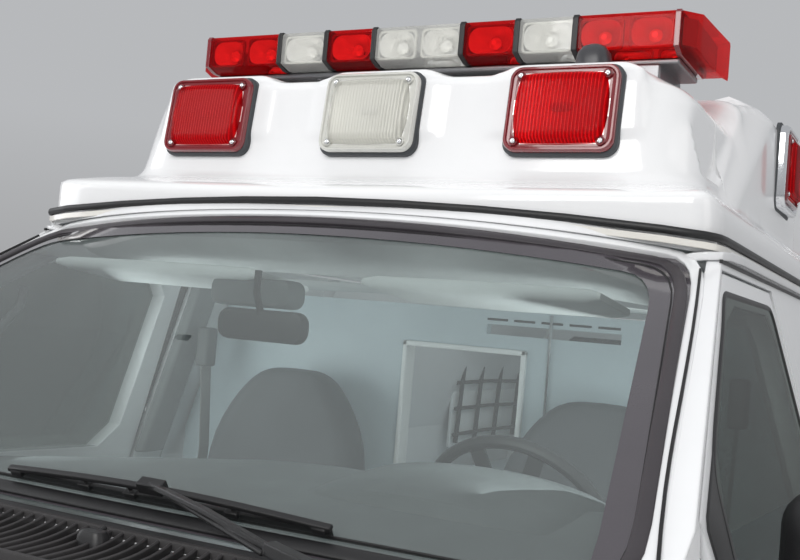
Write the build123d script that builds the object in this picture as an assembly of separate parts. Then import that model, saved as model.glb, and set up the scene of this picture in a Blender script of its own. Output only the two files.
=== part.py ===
from build123d import *
from math import cos, pi, radians, sin, sqrt, tan
import os

os.makedirs("parts", exist_ok=True)

# Frame: millimetres, X to the vehicle's left, Y to the rear, Z up, floor at z 0.

# Driving sizes of the van
REAR_SKIN_Y = 2560
NOSE_SKIN_Y = -2640
AXLE_F_Y, AXLE_R_Y = -1975, 1530
TYRE_R, TYRE_W = 387, 245
RIM_R = 216
TRACK_F, TRACK_R = 1762, 1702
KINGPIN_X = TRACK_F / 2 - 96
WALL = 45
GAP = 6
RUN = 0.05
SILL_Z, BELT_Z, RAIL_Z, CROWN_Z = 430, 1340, 1982, 2022
SIDE = [(430, 968), (560, 1000), (1000, 1007), (1340, 979), (1982, 776)]
COWL_Z = 1480
DOOR_Z0, DOOR_Z1 = 490, 1930
FLOOR_Z0, FLOOR_Z1 = 650, 700
RAIL_X0, RAIL_X1, FRAME_Z0, FRAME_Z1 = 390, 450, 500, 650
HINGE_OUT = 1016
PIN_R, BARREL_R = 5, 9
ARCH_F, ARCH_R = 470, 430
GLASS = 5

# Windscreen surface: centre line and side line heights
WS_FOOT = (-1830.0, 1510.0)
WS_SLOPE = 0.6838
SIDE_FOOT = (-1809.0, 1510.0)
SIDE_RUN = 1.7535


def hw(z):
    for (z0, x0), (z1, x1) in zip(SIDE, SIDE[1:]):
        if z <= z1 or (z1, x1) == SIDE[-1]:
            return x0 + (z - z0) * (x1 - x0) / (z1 - z0)


def box(x0, x1, y0, y1, z0, z1):
    return Pos((x0 + x1) / 2, (y0 + y1) / 2, (z0 + z1) / 2) * Box(abs(x1 - x0), abs(y1 - y0), abs(z1 - z0))


def face(points):
    return make_face(Polyline(*points, close=True))


def prism_x(yz, x0, x1):
    f = face([(x0, y, z) for y, z in yz])
    return extrude(f, amount=x1 - x0, dir=(1, 0, 0))


def prism_y(xz, y0, y1):
    f = face([(x, y0, z) for x, z in xz])
    return extrude(f, amount=y1 - y0, dir=(0, 1, 0))


def prism_z(xy, z0, z1):
    f = face([(x, y, z0) for x, y in xy])
    return extrude(f, amount=z1 - z0, dir=(0, 0, 1))


def cyl_x(r, x0, x1, y, z):
    return Pos((x0 + x1) / 2, y, z) * Rot(0, 90, 0) * Cylinder(r, abs(x1 - x0))


def cyl_y(r, y0, y1, x, z):
    return Pos(x, (y0 + y1) / 2, z) * Rot(90, 0, 0) * Cylinder(r, abs(y1 - y0))


def cyl_z(r, z0, z1, x, y):
    return Pos(x, y, (z0 + z1) / 2) * Cylinder(r, abs(z1 - z0))


def flip(shape):
    return mirror(shape, about=Plane.YZ)


def both(shape):
    return [shape, flip(shape)]


def solids_of(*shapes):
    out = []
    for s in shapes:
        if isinstance(s, (list, tuple)):
            out += solids_of(*s)
        else:
            out += list(s.solids())
    return out


def fuse(*shapes):
    parts = solids_of(*shapes)
    got = parts[0]
    for p in parts[1:]:
        got = got + p
    return got


def cut(shape, *tools):
    for t in solids_of(*tools):
        shape = shape - t
    return shape


def common(a, b):
    return Compound(children=[s for x in solids_of(a) for s in solids_of(x & b)])


NODES = {}


def node(name, *shapes):
    parts = [s for s in solids_of(*shapes) if s.volume > 1]
    NODES[name] = parts[0] if len(parts) == 1 else Compound(children=parts)


def rounded(points, r):
    # polygon with its corners cut by r on both sides, as short straight chamfers
    out = []
    n = len(points)
    for i, p in enumerate(points):
        a, b = points[i - 1], points[(i + 1) % n]
        for q in (a, b):
            d = sqrt((q[0] - p[0]) ** 2 + (q[1] - p[1]) ** 2)
            k = min(r, d / 3) / d
            out.append((p[0] + (q[0] - p[0]) * k, p[1] + (q[1] - p[1]) * k))
    return out


def inset(points, d):
    # polygon moved inward by d, for outlines listed in either turning direction
    area = sum(p[0] * q[1] - q[0] * p[1] for p, q in zip(points, points[1:] + points[:1]))
    s = 1 if area > 0 else -1
    lines = []
    for p, q in zip(points, points[1:] + points[:1]):
        ln = sqrt((q[0] - p[0]) ** 2 + (q[1] - p[1]) ** 2)
        nx, ny = -s * (q[1] - p[1]) / ln, s * (q[0] - p[0]) / ln
        lines.append(((p[0] + nx * d, p[1] + ny * d), (q[0] - p[0], q[1] - p[1])))
    out = []
    for (p, u), (q, v) in zip([lines[-1]] + lines[:-1], lines):
        det = u[0] * v[1] - u[1] * v[0]
        t = ((q[0] - p[0]) * v[1] - (q[1] - p[1]) * v[0]) / det
        out.append((p[0] + u[0] * t, p[1] + u[1] * t))
    return out


def side_slab(d0, d1, y0, y1, z0=SILL_Z, z1=RAIL_Z):
    zs = [z0] + [z for z, _ in SIDE if z0 < z < z1] + [z1]
    outer = [(hw(z) - d0, z) for z in zs]
    inner = [(hw(z) - d1, z) for z in reversed(zs)]
    return prism_y(outer + inner, y0, y1)


# Windscreen region: everything behind the glass surface, between two heights
def front_y(z, x, back):
    yc = WS_FOOT[0] + (z - WS_FOOT[1]) / WS_SLOPE
    ys = SIDE_FOOT[0] + (z - SIDE_FOOT[1]) * SIDE_RUN
    return yc + (ys - yc) * (x / hw(z)) ** 2 + back


def cab_wire(z, inn, back, y_end, yc=None, ys=None):
    x = hw(z) - inn
    c = front_y(z, 0, back) if yc is None else yc + back
    s = front_y(z, x, back) if ys is None else ys + back
    arc = ThreePointArc((-x, s, z), (0, c, z), (x, s, z))
    rest = Polyline((x, s, z), (x, y_end, z), (-x, y_end, z), (-x, s, z))
    return Wire(arc.edges() + rest.edges())


def cab_loft(z0, z1, inn, back, y_end):
    return Solid.make_loft([cab_wire(z0, inn, back, y_end), cab_wire(z1, inn, back, y_end)], ruled=True)


HEAD_Z = 1950


def header_loft(z0, z1, inn, back, y_end):
    low = cab_wire(z0, inn, back, y_end)
    high = cab_wire(z1, inn, back, y_end, yc=-1092, ys=-1056)
    return Solid.make_loft([low, high], ruled=True)


def crown(y0, y1, lift=0):
    x = hw(RAIL_Z)
    top = ThreePointArc((x, y0, RAIL_Z + lift), (0, y0, CROWN_Z + lift), (-x, y0, RAIL_Z + lift))
    rest = Polyline((-x, y0, RAIL_Z + lift), (-900, y0, RAIL_Z - 8 + lift), (-900, y0, 900), (900, y0, 900),
                    (900, y0, RAIL_Z - 8 + lift), (x, y0, RAIL_Z + lift))
    return extrude(make_face(Wire(top.edges() + rest.edges())), amount=y1 - y0, dir=(0, 1, 0))


B_REAR = -395
FD = [(-1490, DOOR_Z0), (-500, DOOR_Z0), (-500, DOOR_Z1), (-1060, DOOR_Z1), (-1640, 1597), (-1600, 1440),
      (-1490, 1250)]
FD_WIN = [(-603, 1385), (-603, 1872), (-1085, 1872), (-1500, 1634), (-1500, 1405)]
SD_Y0, SD_SPLIT, SD_Y1 = -380, 230, 770
SD_WIN_Z = (1400, 1800)
RD_X, RD_Z0, RD_Z1, RD_TOP_X = 890, 600, 1915, 740
RD_WIN = [(130, 1400), (760, 1400), (690, 1800), (130, 1800)]
LEFT_WIN = [(-230, 1400), (330, 1400), (330, 1800), (-230, 1800)]

# Cab frame: pillars, header and sills
outer = fuse(cab_loft(COWL_Z, HEAD_Z, 0, 0, B_REAR), header_loft(HEAD_Z, CROWN_Z, 0, 0, B_REAR))
inner = fuse(cab_loft(COWL_Z - 1, HEAD_Z, WALL, 75, B_REAR + 1),
             header_loft(HEAD_Z, CROWN_Z + 1, WALL, 75, B_REAR + 1))
inner = common(inner, box(-1100, 1100, -2200, B_REAR + 1, COWL_Z - 1, CROWN_Z + 1))
cab = cut(outer, inner)
cab = common(cab, crown(-2300, 3000))

WS_TOP_C, WS_TOP_X, WS_TOP_Z, WS_BOT_X, WS_BOT_Z = 1990, 747, 1944, 873, 1511


def ws_outline(grow, y0=-2150, y1=-980):
    zb, zt, zc = WS_BOT_Z - grow, WS_TOP_Z + grow, WS_TOP_C + grow
    xb, xt = WS_BOT_X + grow, WS_TOP_X + grow
    top = ThreePointArc((xt, y0, zt), (0, y0, zc), (-xt, y0, zt))
    rest = Polyline((-xt, y0, zt), (-xb, y0, zb), (xb, y0, zb), (xt, y0, zt))
    return extrude(make_face(Wire(top.edges() + rest.edges())), amount=y1 - y0, dir=(0, 1, 0))


SEAL = 14
cab = cut(cab, ws_outline(SEAL, -2150, -1000))


def glass_skin(d0, d1):
    a = fuse(cab_loft(COWL_Z, HEAD_Z, 0, d0, -800), header_loft(HEAD_Z, CROWN_Z, 0, d0, -800))
    b = fuse(cab_loft(COWL_Z, HEAD_Z, 0, d1, -800), header_loft(HEAD_Z, CROWN_Z, 0, d1, -800))
    return cut(a, b)


skin = glass_skin(9, 20)
node("windshield", common(skin, ws_outline(0)))
seal_skin = glass_skin(-5, 34)
fd_hole = prism_x(FD, 600, 1100)
node("windshield_seal", cut(common(seal_skin, ws_outline(SEAL)), ws_outline(0), fd_hole, flip(fd_hole)))

low_side = side_slab(0, WALL, -1484, B_REAR, SILL_Z, COWL_Z)
left_cab = cut(common(cab, box(0, 1200, -2300, B_REAR, 1400, 2100)), fd_hole)
low_side = cut(low_side, fd_hole)
cab_half = fuse(left_cab, low_side)
node("cab_frame", fuse(cab_half, flip(cab_half)))


def door_panel(outline, win, d1=WALL, bevel=None):
    p = common(side_slab(0, d1, -2200, REAR_SKIN_Y), prism_x(inset(outline, GAP), 600, 1100))
    if bevel:
        p = cut(p, bevel)
    return cut(p, prism_x(rounded(win, 60), 600, 1100))


def side_glass(win, mid=20):
    return common(side_slab(mid, mid + GLASS, -2200, REAR_SKIN_Y), prism_x(rounded(win, 60), 600, 1100))


# Rear edge of the front door leans inward so that it swings clear of the pillar
FD_REAR = -500 - GAP
bevel_f = prism_z([(hw(BELT_Z) + 60, FD_REAR + 40), (hw(BELT_Z) + 60, FD_REAR + 14), (700, FD_REAR - 60),
                   (700, FD_REAR + 40)],
                  DOOR_Z0, DOOR_Z1)
fd = door_panel(FD, FD_WIN)
fd = cut(fd, common(bevel_f, box(600, 1200, -700, -400, BELT_Z, DOOR_Z1)))
node("door_front_left", fd)
node("door_front_right", flip(fd))
node("door_glass_front_left", side_glass(FD_WIN))
node("door_glass_front_right", flip(side_glass(FD_WIN)))

# Exterior mirrors on the doors
MIR_Y, MIR_X0, MIR_X1, MIR_Z0, MIR_Z1 = -1500, 968, 1168, 1360, 1634
mir = box(MIR_X0, MIR_X1, MIR_Y - 50, MIR_Y + 50, MIR_Z0, MIR_Z1)
mir = fillet(mir.edges().filter_by(Axis.Y), 30)
arm_z = [(1395, 1430), (1540, 1575)]
arms = []
for z0, z1 in arm_z:
    arms.append(prism_y([(hw(z0) - 5, z0), (MIR_X0 + 20, z0), (MIR_X0 + 20, z1), (hw(z1) - 5, z1)],
                        MIR_Y - 25, MIR_Y + 25))
mir = cut(fuse(mir, arms), fd)
node("mirror_left", mir)
node("mirror_right", flip(mir))

# Side walls
wall = side_slab(0, WALL, B_REAR, REAR_SKIN_Y - WALL)
arch_r = cyl_x(ARCH_R, 600, 1200, AXLE_R_Y, TYRE_R)
wall = cut(wall, arch_r)
node("side_wall_left", cut(wall, prism_x(rounded(LEFT_WIN, 60), 600, 1100)))
node("side_window_left", side_glass(LEFT_WIN))
SD_F = [(SD_Y0, DOOR_Z0), (SD_SPLIT, DOOR_Z0), (SD_SPLIT, DOOR_Z1), (SD_Y0, DOOR_Z1)]
SD_R = [(SD_SPLIT, DOOR_Z0), (SD_Y1, DOOR_Z0), (SD_Y1, DOOR_Z1), (SD_SPLIT, DOOR_Z1)]
SD_ALL = [(SD_Y0, DOOR_Z0), (SD_Y1, DOOR_Z0), (SD_Y1, DOOR_Z1), (SD_Y0, DOOR_Z1)]
node("side_wall_right", flip(cut(wall, prism_x(SD_ALL, 600, 1100))))
for name, outline, edge, sgn in (("front", SD_F, SD_SPLIT - GAP, 1), ("rear", SD_R, SD_SPLIT + GAP, -1)):
    y0, y1 = outline[0][0], outline[1][0]
    win = [(y0 + 90, SD_WIN_Z[0]), (y1 - 90, SD_WIN_Z[0]), (y1 - 90, SD_WIN_Z[1]), (y0 + 90, SD_WIN_Z[1])]
    # the lean starts at the skin, so each height is cut by its own step
    steps = []
    z = DOOR_Z0
    while z < DOOR_Z1:
        zt = min(z + 80, DOOR_Z1)
        x = hw(z)
        k = 0.46 * (HINGE_OUT - hw(zt)) / 210 + 0.06
        steps.append(prism_z([(x + 20, edge + sgn * 20 * k), (x + 20, edge + sgn * 60),
                              (x - 90, edge + sgn * 60),
                              (x - 90, edge - sgn * 90 * k)], z, zt))
        z = zt
    p = cut(door_panel(outline, win), steps)
    node("side_door_" + name, flip(p))
    node("side_door_glass_" + name, flip(side_glass(win)))

# Rear frame and rear doors
rear_sec = [(hw(z), z) for z in (SILL_Z, 560, 1000, BELT_Z, RAIL_Z)]
rear_out = prism_y(rear_sec + [(-x, z) for x, z in reversed(rear_sec)], REAR_SKIN_Y - WALL, REAR_SKIN_Y)
rear_top = common(crown(REAR_SKIN_Y - WALL, REAR_SKIN_Y), box(-900, 900, 2400, 2700, RAIL_Z - 8, 2100))
rear_top = common(rear_top, prism_y([(-776, 1900), (776, 1900), (776, 2100), (-776, 2100)], 2400, 2700))
rear = fuse(rear_out, rear_top)
RD_ALL = [(-RD_X, RD_Z0), (RD_X, RD_Z0), (RD_X, BELT_Z), (RD_TOP_X, RD_Z1), (-RD_TOP_X, RD_Z1),
          (-RD_X, BELT_Z)]
rear = cut(rear, prism_y(RD_ALL, 2400, 2700))
hitch_arms = both(box(RAIL_X0, RAIL_X1, REAR_SKIN_Y - WALL - GAP, REAR_SKIN_Y + 8, FRAME_Z0, 560))
rear = cut(rear, hitch_arms)
node("rear_frame", rear)
rd_in = inset([(-GAP / 2, RD_Z0), (RD_X, RD_Z0), (RD_X, BELT_Z), (RD_TOP_X, RD_Z1), (-GAP / 2, RD_Z1)], GAP)
rdp = prism_y(rd_in, REAR_SKIN_Y - WALL, REAR_SKIN_Y)
rdp = cut(rdp, box(-20, GAP / 2 + 1.5, 2400, 2700, 500, 2000))
rdp = cut(rdp, prism_y(rounded(RD_WIN, 60), 2400, 2700))
node("rear_door_left", rdp)
node("rear_door_right", flip(rdp))
rdg = prism_y(rounded(RD_WIN, 60), REAR_SKIN_Y - 25, REAR_SKIN_Y - 20)
node("rear_door_glass_left", rdg)
node("rear_door_glass_right", flip(rdg))

# Front end: fenders and nose, open below
HOOD_REAR, HOOD_FRONT, HOOD_X = (-1990, 1478), (-2560, 1190), 770
PLAN = [(1020, -1484), (1012, -1980), (995, -2300), (950, -2520), (860, NOSE_SKIN_Y + 10),
        (0, NOSE_SKIN_Y - 12)]


def nose(d):
    zt = COWL_Z - d
    prof = [(-1484, SILL_Z + 0), (-1484, zt), (-1990 + d, zt), (HOOD_FRONT[0] + d, HOOD_FRONT[1] - d * 0.8),
            (NOSE_SKIN_Y + d, 1120 - d * 0.8), (NOSE_SKIN_Y + d, 560), (NOSE_SKIN_Y + 60 + d, SILL_Z + 60)]
    sec = [(hw(z) - d, z) for z in (SILL_Z, 560, 1000, BELT_Z)] + [(hw(zt) - d, zt)]
    s = prism_y(sec + [(-x, z) for x, z in reversed(sec)], NOSE_SKIN_Y - 20, -1484)
    s = common(s, prism_x(prof, -1100, 1100))
    plan = [(x - d * (1 if x else 0), y + d * (1 if i > 2 else 0)) for i, (x, y) in enumerate(PLAN)]
    plan = plan + [(-x, y) for x, y in reversed(plan[:-1])]
    return common(s, prism_z(plan, 300, 1600))


nose_out, nose_in = nose(0), nose(32)
front = cut(nose_out, nose_in)
front = cut(front, box(-930, 930, -2200, -1480, 300, 1400), box(-900, 900, -2608, -1480, 300, 700))
front = cut(front, box(-1100, 1100, -2700, -2560, 300, 696))
for x0, x1 in ((600, 1200), (-1200, -600)):
    front = cut(front, cyl_x(ARCH_F, x0, x1, AXLE_F_Y, TYRE_R))
hood_hole = box(-HOOD_X, HOOD_X, HOOD_FRONT[0], HOOD_REAR[0], 1000, 1600)
cowl_hole = box(-862, 862, HOOD_REAR[0], -1484, 1400, 1600)
door_tip = fuse(fd_hole, flip(fd_hole))
front = cut(front, hood_hole, cowl_hole, door_tip)
GR_X, GR_Z0, GR_Z1 = 560, 800, 1090
LAMP_X0, LAMP_X1, LAMP_Z0, LAMP_Z1 = 600, 830, 830, 1070
front = cut(front, box(-GR_X, GR_X, -2700, -2560, GR_Z0, GR_Z1))
for s in (1, -1):
    front = cut(front, box(s * LAMP_X0, s * LAMP_X1, -2700, -2540, LAMP_Z0, LAMP_Z1))
node("front_end", front)
hood = common(common(nose_out, prism_x([(HOOD_REAR[0] - GAP, 1600), (HOOD_REAR[0] - GAP, HOOD_REAR[1] - 32),
                                        (HOOD_FRONT[0] + GAP, HOOD_FRONT[1] - 32),
                                        (HOOD_FRONT[0] + GAP, 1600)], -HOOD_X + GAP, HOOD_X - GAP)),
                                        box(-1000, 1000, -2600, -1900, 1100, 1600))
HOOD_HINGE = (HOOD_REAR[0] - 1, HOOD_REAR[1] + 7)
hood_x = [-600, 600]
for x in hood_x:
    y, z = HOOD_HINGE
    lid = cut(fuse(cyl_x(6, x - 12, x + 12, y, z), box(x - 12, x + 12, y - 24, y - 4, z - 22, z - 4)),
              cyl_x(3 + RUN, x - 90, x + 90, y, z))
    hood = fuse(hood, lid)
node("hood", hood)

# Grille, lamps and bumper of the nose
bars = [box(-GR_X, GR_X, -2646, -2620, GR_Z0, GR_Z0 + 25), box(-GR_X, GR_X, -2646, -2620, GR_Z1 - 25, GR_Z1)]
for k in range(1, 4):
    z = GR_Z0 + k * (GR_Z1 - GR_Z0) / 4
    bars.append(box(-GR_X, GR_X, -2644, -2622, z - 8, z + 8))
for k in range(-5, 6):
    x = k * 110
    bars.append(box(x - 8, x + 8, -2643, -2610, GR_Z0, GR_Z1))
node("grille", fuse(bars))
node("headlamps", both(box(LAMP_X0, LAMP_X1, -2632, -2570, LAMP_Z0, LAMP_Z1)))
bump = prism_z([(-930, -2560), (-960, -2600), (-900, -2680), (-400, -2700), (400, -2700), (900, -2680),
                (960, -2600), (930, -2560), (880, -2612), (-880, -2612)], 470, 690)
brk = both(box(RAIL_X0, RAIL_X1, -2612, -2540, 520, 640))
node("front_bumper", fuse(bump, brk))

# Cowl panel between hood and windscreen, and the firewall under it
FIRE_Y0, FIRE_Y1 = -1846, -1816
cowl = common(prism_x([(-1984, 1446), (-1984, 1474), (-1846, 1494), (-1816, 1497), (-1800, 1446)], -856,
                      856), box(-900, 900, -2000, -1790, 1440, 1500))
cowl = cut(cowl, NODES["windshield_seal"], NODES["cab_frame"])
for x in hood_x:
    y, z = HOOD_HINGE
    cowl = fuse(cowl, cyl_x(3, x - 30, x + 30, y, z))
    for x0, x1 in ((x - 30, x - 13), (x + 13, x + 30)):
        cowl = fuse(cowl, cyl_x(6, x0, x1, y, z), box(x0, x1, y, y + 24, z - 30, z))
for k in range(-8, 9):
    if abs(k) > 0:
        cowl = cut(cowl, Pos(k * 90, -1900, 1484) * Rot(8, 0, 0) * Box(16, 70, 12))
node("cowl_panel", cowl)
fire = cut(box(-930, 930, FIRE_Y0, FIRE_Y1, FLOOR_Z0, 1446), flip(fd_hole), fd_hole)
fire = cut(fire, box(-315, 315, -1900, -1700, 600, 1115), cyl_x(ARCH_F + 32, 500, 1000, AXLE_F_Y, TYRE_R),
           cyl_x(ARCH_F + 32, -1000, -500, AXLE_F_Y, TYRE_R))
fire = cut(fire, front, NODES["cab_frame"])

# Wipers, parked along the foot of the glass
WIPERS = [
    {"pivot": (640, -1868), "tip": (-20, -1868)},
    {"pivot": (-130, -1868), "tip": (-770, -1868)},
]
wip = []
for w in WIPERS:
    px, tx = w["pivot"][0], w["tip"][0]
    wip.append(cyl_z(16, 1480, 1560, px, -1868))
    wip.append(prism_z([(px, -1880), (px, -1856), (tx + 260, -1852), (tx + 260, -1868)], 1544, 1558))
    wip.append(box(tx, tx + 520, -1862, -1850, 1532, 1552))
wip = cut(fuse(wip), cowl, NODES["cab_frame"], NODES["windshield_seal"])
node("wipers", wip)

# Raised roof cap: skirt with a ledge, forehead with a boss over each lamp, main body, wedge pods
SKIRT_SEC = [(776, 1974), (776, 2045), (762, 2066), (705, 2098), (0, 2098)]
SKIRT_PROF = [(-1100, 1960), (-1100, 2036), (-1094, 2050), (-1075, 2062), (-922, 2097)]
SKIRT_PLAN = [(776, -1020), (755, -1058), (690, -1074), (0, -1094)]
FOREHEAD = [
    {"z": 2090, "half": 698, "front": -922.9, "r": 130},
    {"z": 2150, "half": 695, "front": -915.2, "r": 150},
    {"z": 2225, "half": 690, "front": -905.5, "r": 165},
    {"z": 2272, "half": 680, "front": -899.5, "r": 168},
    {"z": 2306, "half": 655, "front": -895.1, "r": 150},
    {"z": 2326, "half": 612, "front": -885.0, "r": 110},
    {"z": 2333, "half": 570, "front": -868.0, "r": 85},
]
BROW_SEC = [(698, 2080), (690, 2225), (680, 2272), (655, 2306), (612, 2328), (560, 2346), (480, 2366),
            (0, 2400)]
BROW_Y0 = -740
BROW_PROF = [(BROW_Y0, 2080), (BROW_Y0, 2346), (-440, 2384), (-330, 2384), (-330, 2080)]
CROWN_BROW = [(-868, 2300), (-868, 2333), (BROW_Y0, 2346), (BROW_Y0, 2300)]
BOSSES = [(-549, -316), (-112, 112), (316, 549)]
BOSS_RUN = 35
BOSS_PROF = [(-896, 2300), (-893.5, 2318), (-888, 2336), (-878, 2345), (-862, 2349), (-740, 2352),
             (-640, 2346), (-640, 2300)]
BODY_SEC = [(698, 2080), (690, 2262), (682, 2345), (655, 2392), (590, 2420), (400, 2440), (0, 2450)]
BODY_TOP = [(-440, 2366), (-330, 2394), (-100, 2448), (-40, 2460)]
SHELL = 25


def mirrored(points):
    return points + [(-x, z) for x, z in reversed(points) if x != 0]


def forehead_wire(row):
    x, y, r, z = row["half"], row["front"], row["r"], row["z"]
    k = r * (1 - cos(pi / 4))
    pts = [(x, y + r, z), (x - k, y + k, z), (x - r, y, z)]
    left = ThreePointArc(*pts)
    right = ThreePointArc(*[(-a, b, c) for a, b, c in reversed(pts)])
    back = Polyline((-x, y + r, z), (-x, -700, z), (x, -700, z), (x, y + r, z))
    return Wire([left.edge(), Line((x - r, y, z), (r - x, y, z)).edge(), right.edge()] + list(back.edges()))


skirt = prism_y(mirrored(SKIRT_SEC), -1100, REAR_SKIN_Y)
skirt = common(skirt, prism_x(SKIRT_PROF + [(REAR_SKIN_Y, 2097), (REAR_SKIN_Y, 1960)], -900, 900))
skirt = common(skirt, prism_z(mirrored([(776, REAR_SKIN_Y + 1)] + SKIRT_PLAN), 1900, 2500))
skirt = cut(skirt, crown(-1200, 3000))
forehead = Solid.make_loft([forehead_wire(row) for row in FOREHEAD], ruled=True)
brow = common(prism_y(mirrored(BROW_SEC), BROW_Y0, -330), prism_x(BROW_PROF, -900, 900))
tip = common(prism_y(mirrored([(540, 2300), (540, 2348), (480, 2366), (0, 2400)]), -868, BROW_Y0),
             prism_x(CROWN_BROW, -900, 900))
body_prof = [(-440, 2080)] + BODY_TOP + [(REAR_SKIN_Y - 80, 2460), (REAR_SKIN_Y - 40, 2420),
                                         (REAR_SKIN_Y, 2250), (REAR_SKIN_Y, 2080)]
body = common(prism_y(mirrored(BODY_SEC), -440, REAR_SKIN_Y), prism_x(body_prof, -900, 900))
cap = fuse(skirt, forehead, brow, tip, body)
for x0, x1 in BOSSES:
    ends = [(x0 - BOSS_RUN, 2290), (x0 - BOSS_RUN, 2328), (x0, 2350), (x0, 2380), (x1, 2380), (x1, 2350),
            (x1 + BOSS_RUN, 2328), (x1 + BOSS_RUN, 2290)]
    cap = fuse(cap, common(prism_x(BOSS_PROF, x0 - BOSS_RUN, x1 + BOSS_RUN), prism_y(ends, -900, -600)))

# Sunk panels on the forehead's sides, and the pods with raked fronts
PANEL_X = 670
PANEL = [(-800, 2135), (-825, 2273), (-449, 2293), (-645, 2137)]
panel = prism_x(rounded(PANEL, 14), PANEL_X, 720)
cap = cut(cap, panel, flip(panel))


def pod_wedge(foot, knee, end, foot_out, knee_out, end_out):
    inner = [(foot, 2080), (knee, 2372), (knee + 105, 2400), (end, 2400), (end + 40, 2080)]
    outer = [(foot_out, 2072), (knee_out, 2350), (knee_out + 75, 2380), (end_out, 2380), (end_out + 40, 2072)]
    rows = ([(680, y, z) for y, z in inner], [(722 - 6 * (z - 2072) / 308, y, z) for y, z in outer])
    return Solid.make_loft([Wire(Polyline(*p, close=True).edges()) for p in rows], ruled=True)


pods = both(pod_wedge(-745, -335, 400, -650, -198, 330)) + both(pod_wedge(1270, 1455, 2250, 1380, 1560, 2180))
cap = fuse(cap, pods)
IN_FRONT = [(745, 1900), (745, 2035), (645, 2080), (640, 2250), (600, 2290), (540, 2305), (0, 2310)]
IN_HEAD = [(640, -300), (640, -730), (600, -800), (540, -850), (470, -895), (0, -895)]
IN_BODY = [(745, 1900), (745, 2035), (672, 2080), (664, 2250), (656, 2335), (632, 2372), (575, 2395),
           (390, 2415), (0, 2425)]
in_front = common(prism_y(mirrored(IN_FRONT), -1050, -300),
                  prism_x([(-1010, 1900), (-1010, 2035), (-895, 2065), (-866, 2290), (-840, 2305),
                           (-300, 2330), (-300, 1900)], -900, 900))
in_body_prof = [(-400, 1900), (-400, 2348), (-310, 2370), (-90, 2422), (-50, 2435),
                (REAR_SKIN_Y - 95, 2435), (REAR_SKIN_Y - 65, 2405), (REAR_SKIN_Y - SHELL, 2250),
                (REAR_SKIN_Y - SHELL, 2040), (REAR_SKIN_Y - WALL - 5, 2035), (REAR_SKIN_Y - WALL - 5, 1900)]
in_body = common(prism_y(mirrored(IN_BODY), -400, REAR_SKIN_Y), prism_x(in_body_prof, -900, 900))
corner_keep = cut(box(-760, 760, -1020, -300, 2066, 2400), prism_z(mirrored(IN_HEAD), 2060, 2410))
cap_in = fuse(cut(in_front, corner_keep), in_body)
cap = cut(cap, cap_in)

# Roof lamps: 9 by 7 inch heads on the forehead, the pods and the tail
LEAN = 7.4
LAMP_W, LAMP_H, LAMP_D = 229, 178, 46


def lamp_head(w=LAMP_W, h=LAMP_H, d=LAMP_D):
    flange = Box(w, 10, h)
    lens = Pos(0, -d / 2, 0) * Box(w - 44, d - 10, h - 40)
    return fuse(flange, lens)


FACE_Y = -899.4
front_lamps = {x: Pos(x, FACE_Y - 8, 2240) * Rot(-LEAN, 0, 0) * lamp_head() for x in (-435, 0, 435)}
SIDE_LAMPS = [{"y": 70, "z": 2282}, {"y": 1850, "z": 2282}]
side_heads = []
for row in SIDE_LAMPS:
    head = Pos(722, row["y"], row["z"]) * Rot(0, 0, 90) * lamp_head()
    side_heads += both(head)
rear_heads = [Pos(x, REAR_SKIN_Y + 5, 2130) * Rot(0, 0, 180) * lamp_head() for x in (-560, 0, 560)]
cap = cut(cap, list(front_lamps.values()), side_heads, rear_heads)
node("raised_roof", cap)
node("roof_lamps_red", front_lamps[-435], front_lamps[435], side_heads, rear_heads[0], rear_heads[2])
node("roof_lamps_clear", front_lamps[0], rear_heads[1])

# Rubber seam strip round the joint of roof and body
strip_zone = cut(crown(-1110, 2600, 9), crown(-1120, 2610, -9))
plan = [(784, REAR_SKIN_Y - 2), (784, -1020), (762, -1064), (692, -1082), (0, -1101)]
ring = prism_z(plan + [(-x, y) for x, y in reversed(plan[:-1])], 1900, 2200)
seam = common(strip_zone, ring)
seam = cut(seam, cap, NODES["cab_frame"], NODES["rear_frame"], NODES["side_wall_left"],
           NODES["side_wall_right"])
seam = cut(seam, box(-770, 770, -1050, 2700, 1900, 2100), NODES["windshield_seal"], NODES["windshield"])
seam = cut(seam, outer)
NODES["windshield_seal"] = Compound(children=solids_of(NODES["windshield_seal"],
                                                       [x for x in solids_of(seam) if x.volume > 50000]))

# Light bar
BAR_Y0, BAR_Y1, BAR_Z0, BAR_Z1 = -734, -458, 2403, 2491
BAR_HALF = 664
BAR_SEC = [(BAR_Y0, BAR_Z0 + 11), (BAR_Y0, BAR_Z1 - 6), (BAR_Y0 + 6, BAR_Z1), (BAR_Y1 - 6, BAR_Z1),
           (BAR_Y1, BAR_Z1 - 6), (BAR_Y1, BAR_Z0 + 11), (BAR_Y1 - 34, BAR_Z0), (BAR_Y0 + 34, BAR_Z0)]
BAR_PLAN = [(-700, BAR_Y0), (605, BAR_Y0), (646, -690), (BAR_HALF - 4, BAR_Y1), (-700, BAR_Y1)]
SEGMENTS = [
    {"x0": 115, "x1": 249, "red": False}, {"x0": 249, "x1": 384, "red": True},
    {"x0": 384, "x1": 605, "red": True}, {"x0": 605, "x1": BAR_HALF, "red": True},
    {"x0": -115, "x1": 115, "red": False},
]
DIV = 5
red, clear = [], []
for s in SEGMENTS:
    seg = prism_x(BAR_SEC, s["x0"] + DIV, s["x1"] - (DIV if s["x1"] < BAR_HALF else 0))
    seg = common(seg, prism_z(BAR_PLAN, BAR_Z0 - 10, BAR_Z1 + 10))
    pieces = [seg] if s["x0"] < 0 else [seg, flip(seg)]
    if not s["red"] and s["x0"] > 0:
        pieces = both(seg)
    (red if s["red"] else clear).extend(pieces)
node("light_bar_red", red)
node("light_bar_clear", clear)
base = [prism_x(inset(BAR_SEC, -2), x - DIV, x + DIV) for x in (-605, -384, -249, -115, 115, 249, 384, 605)]
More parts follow.
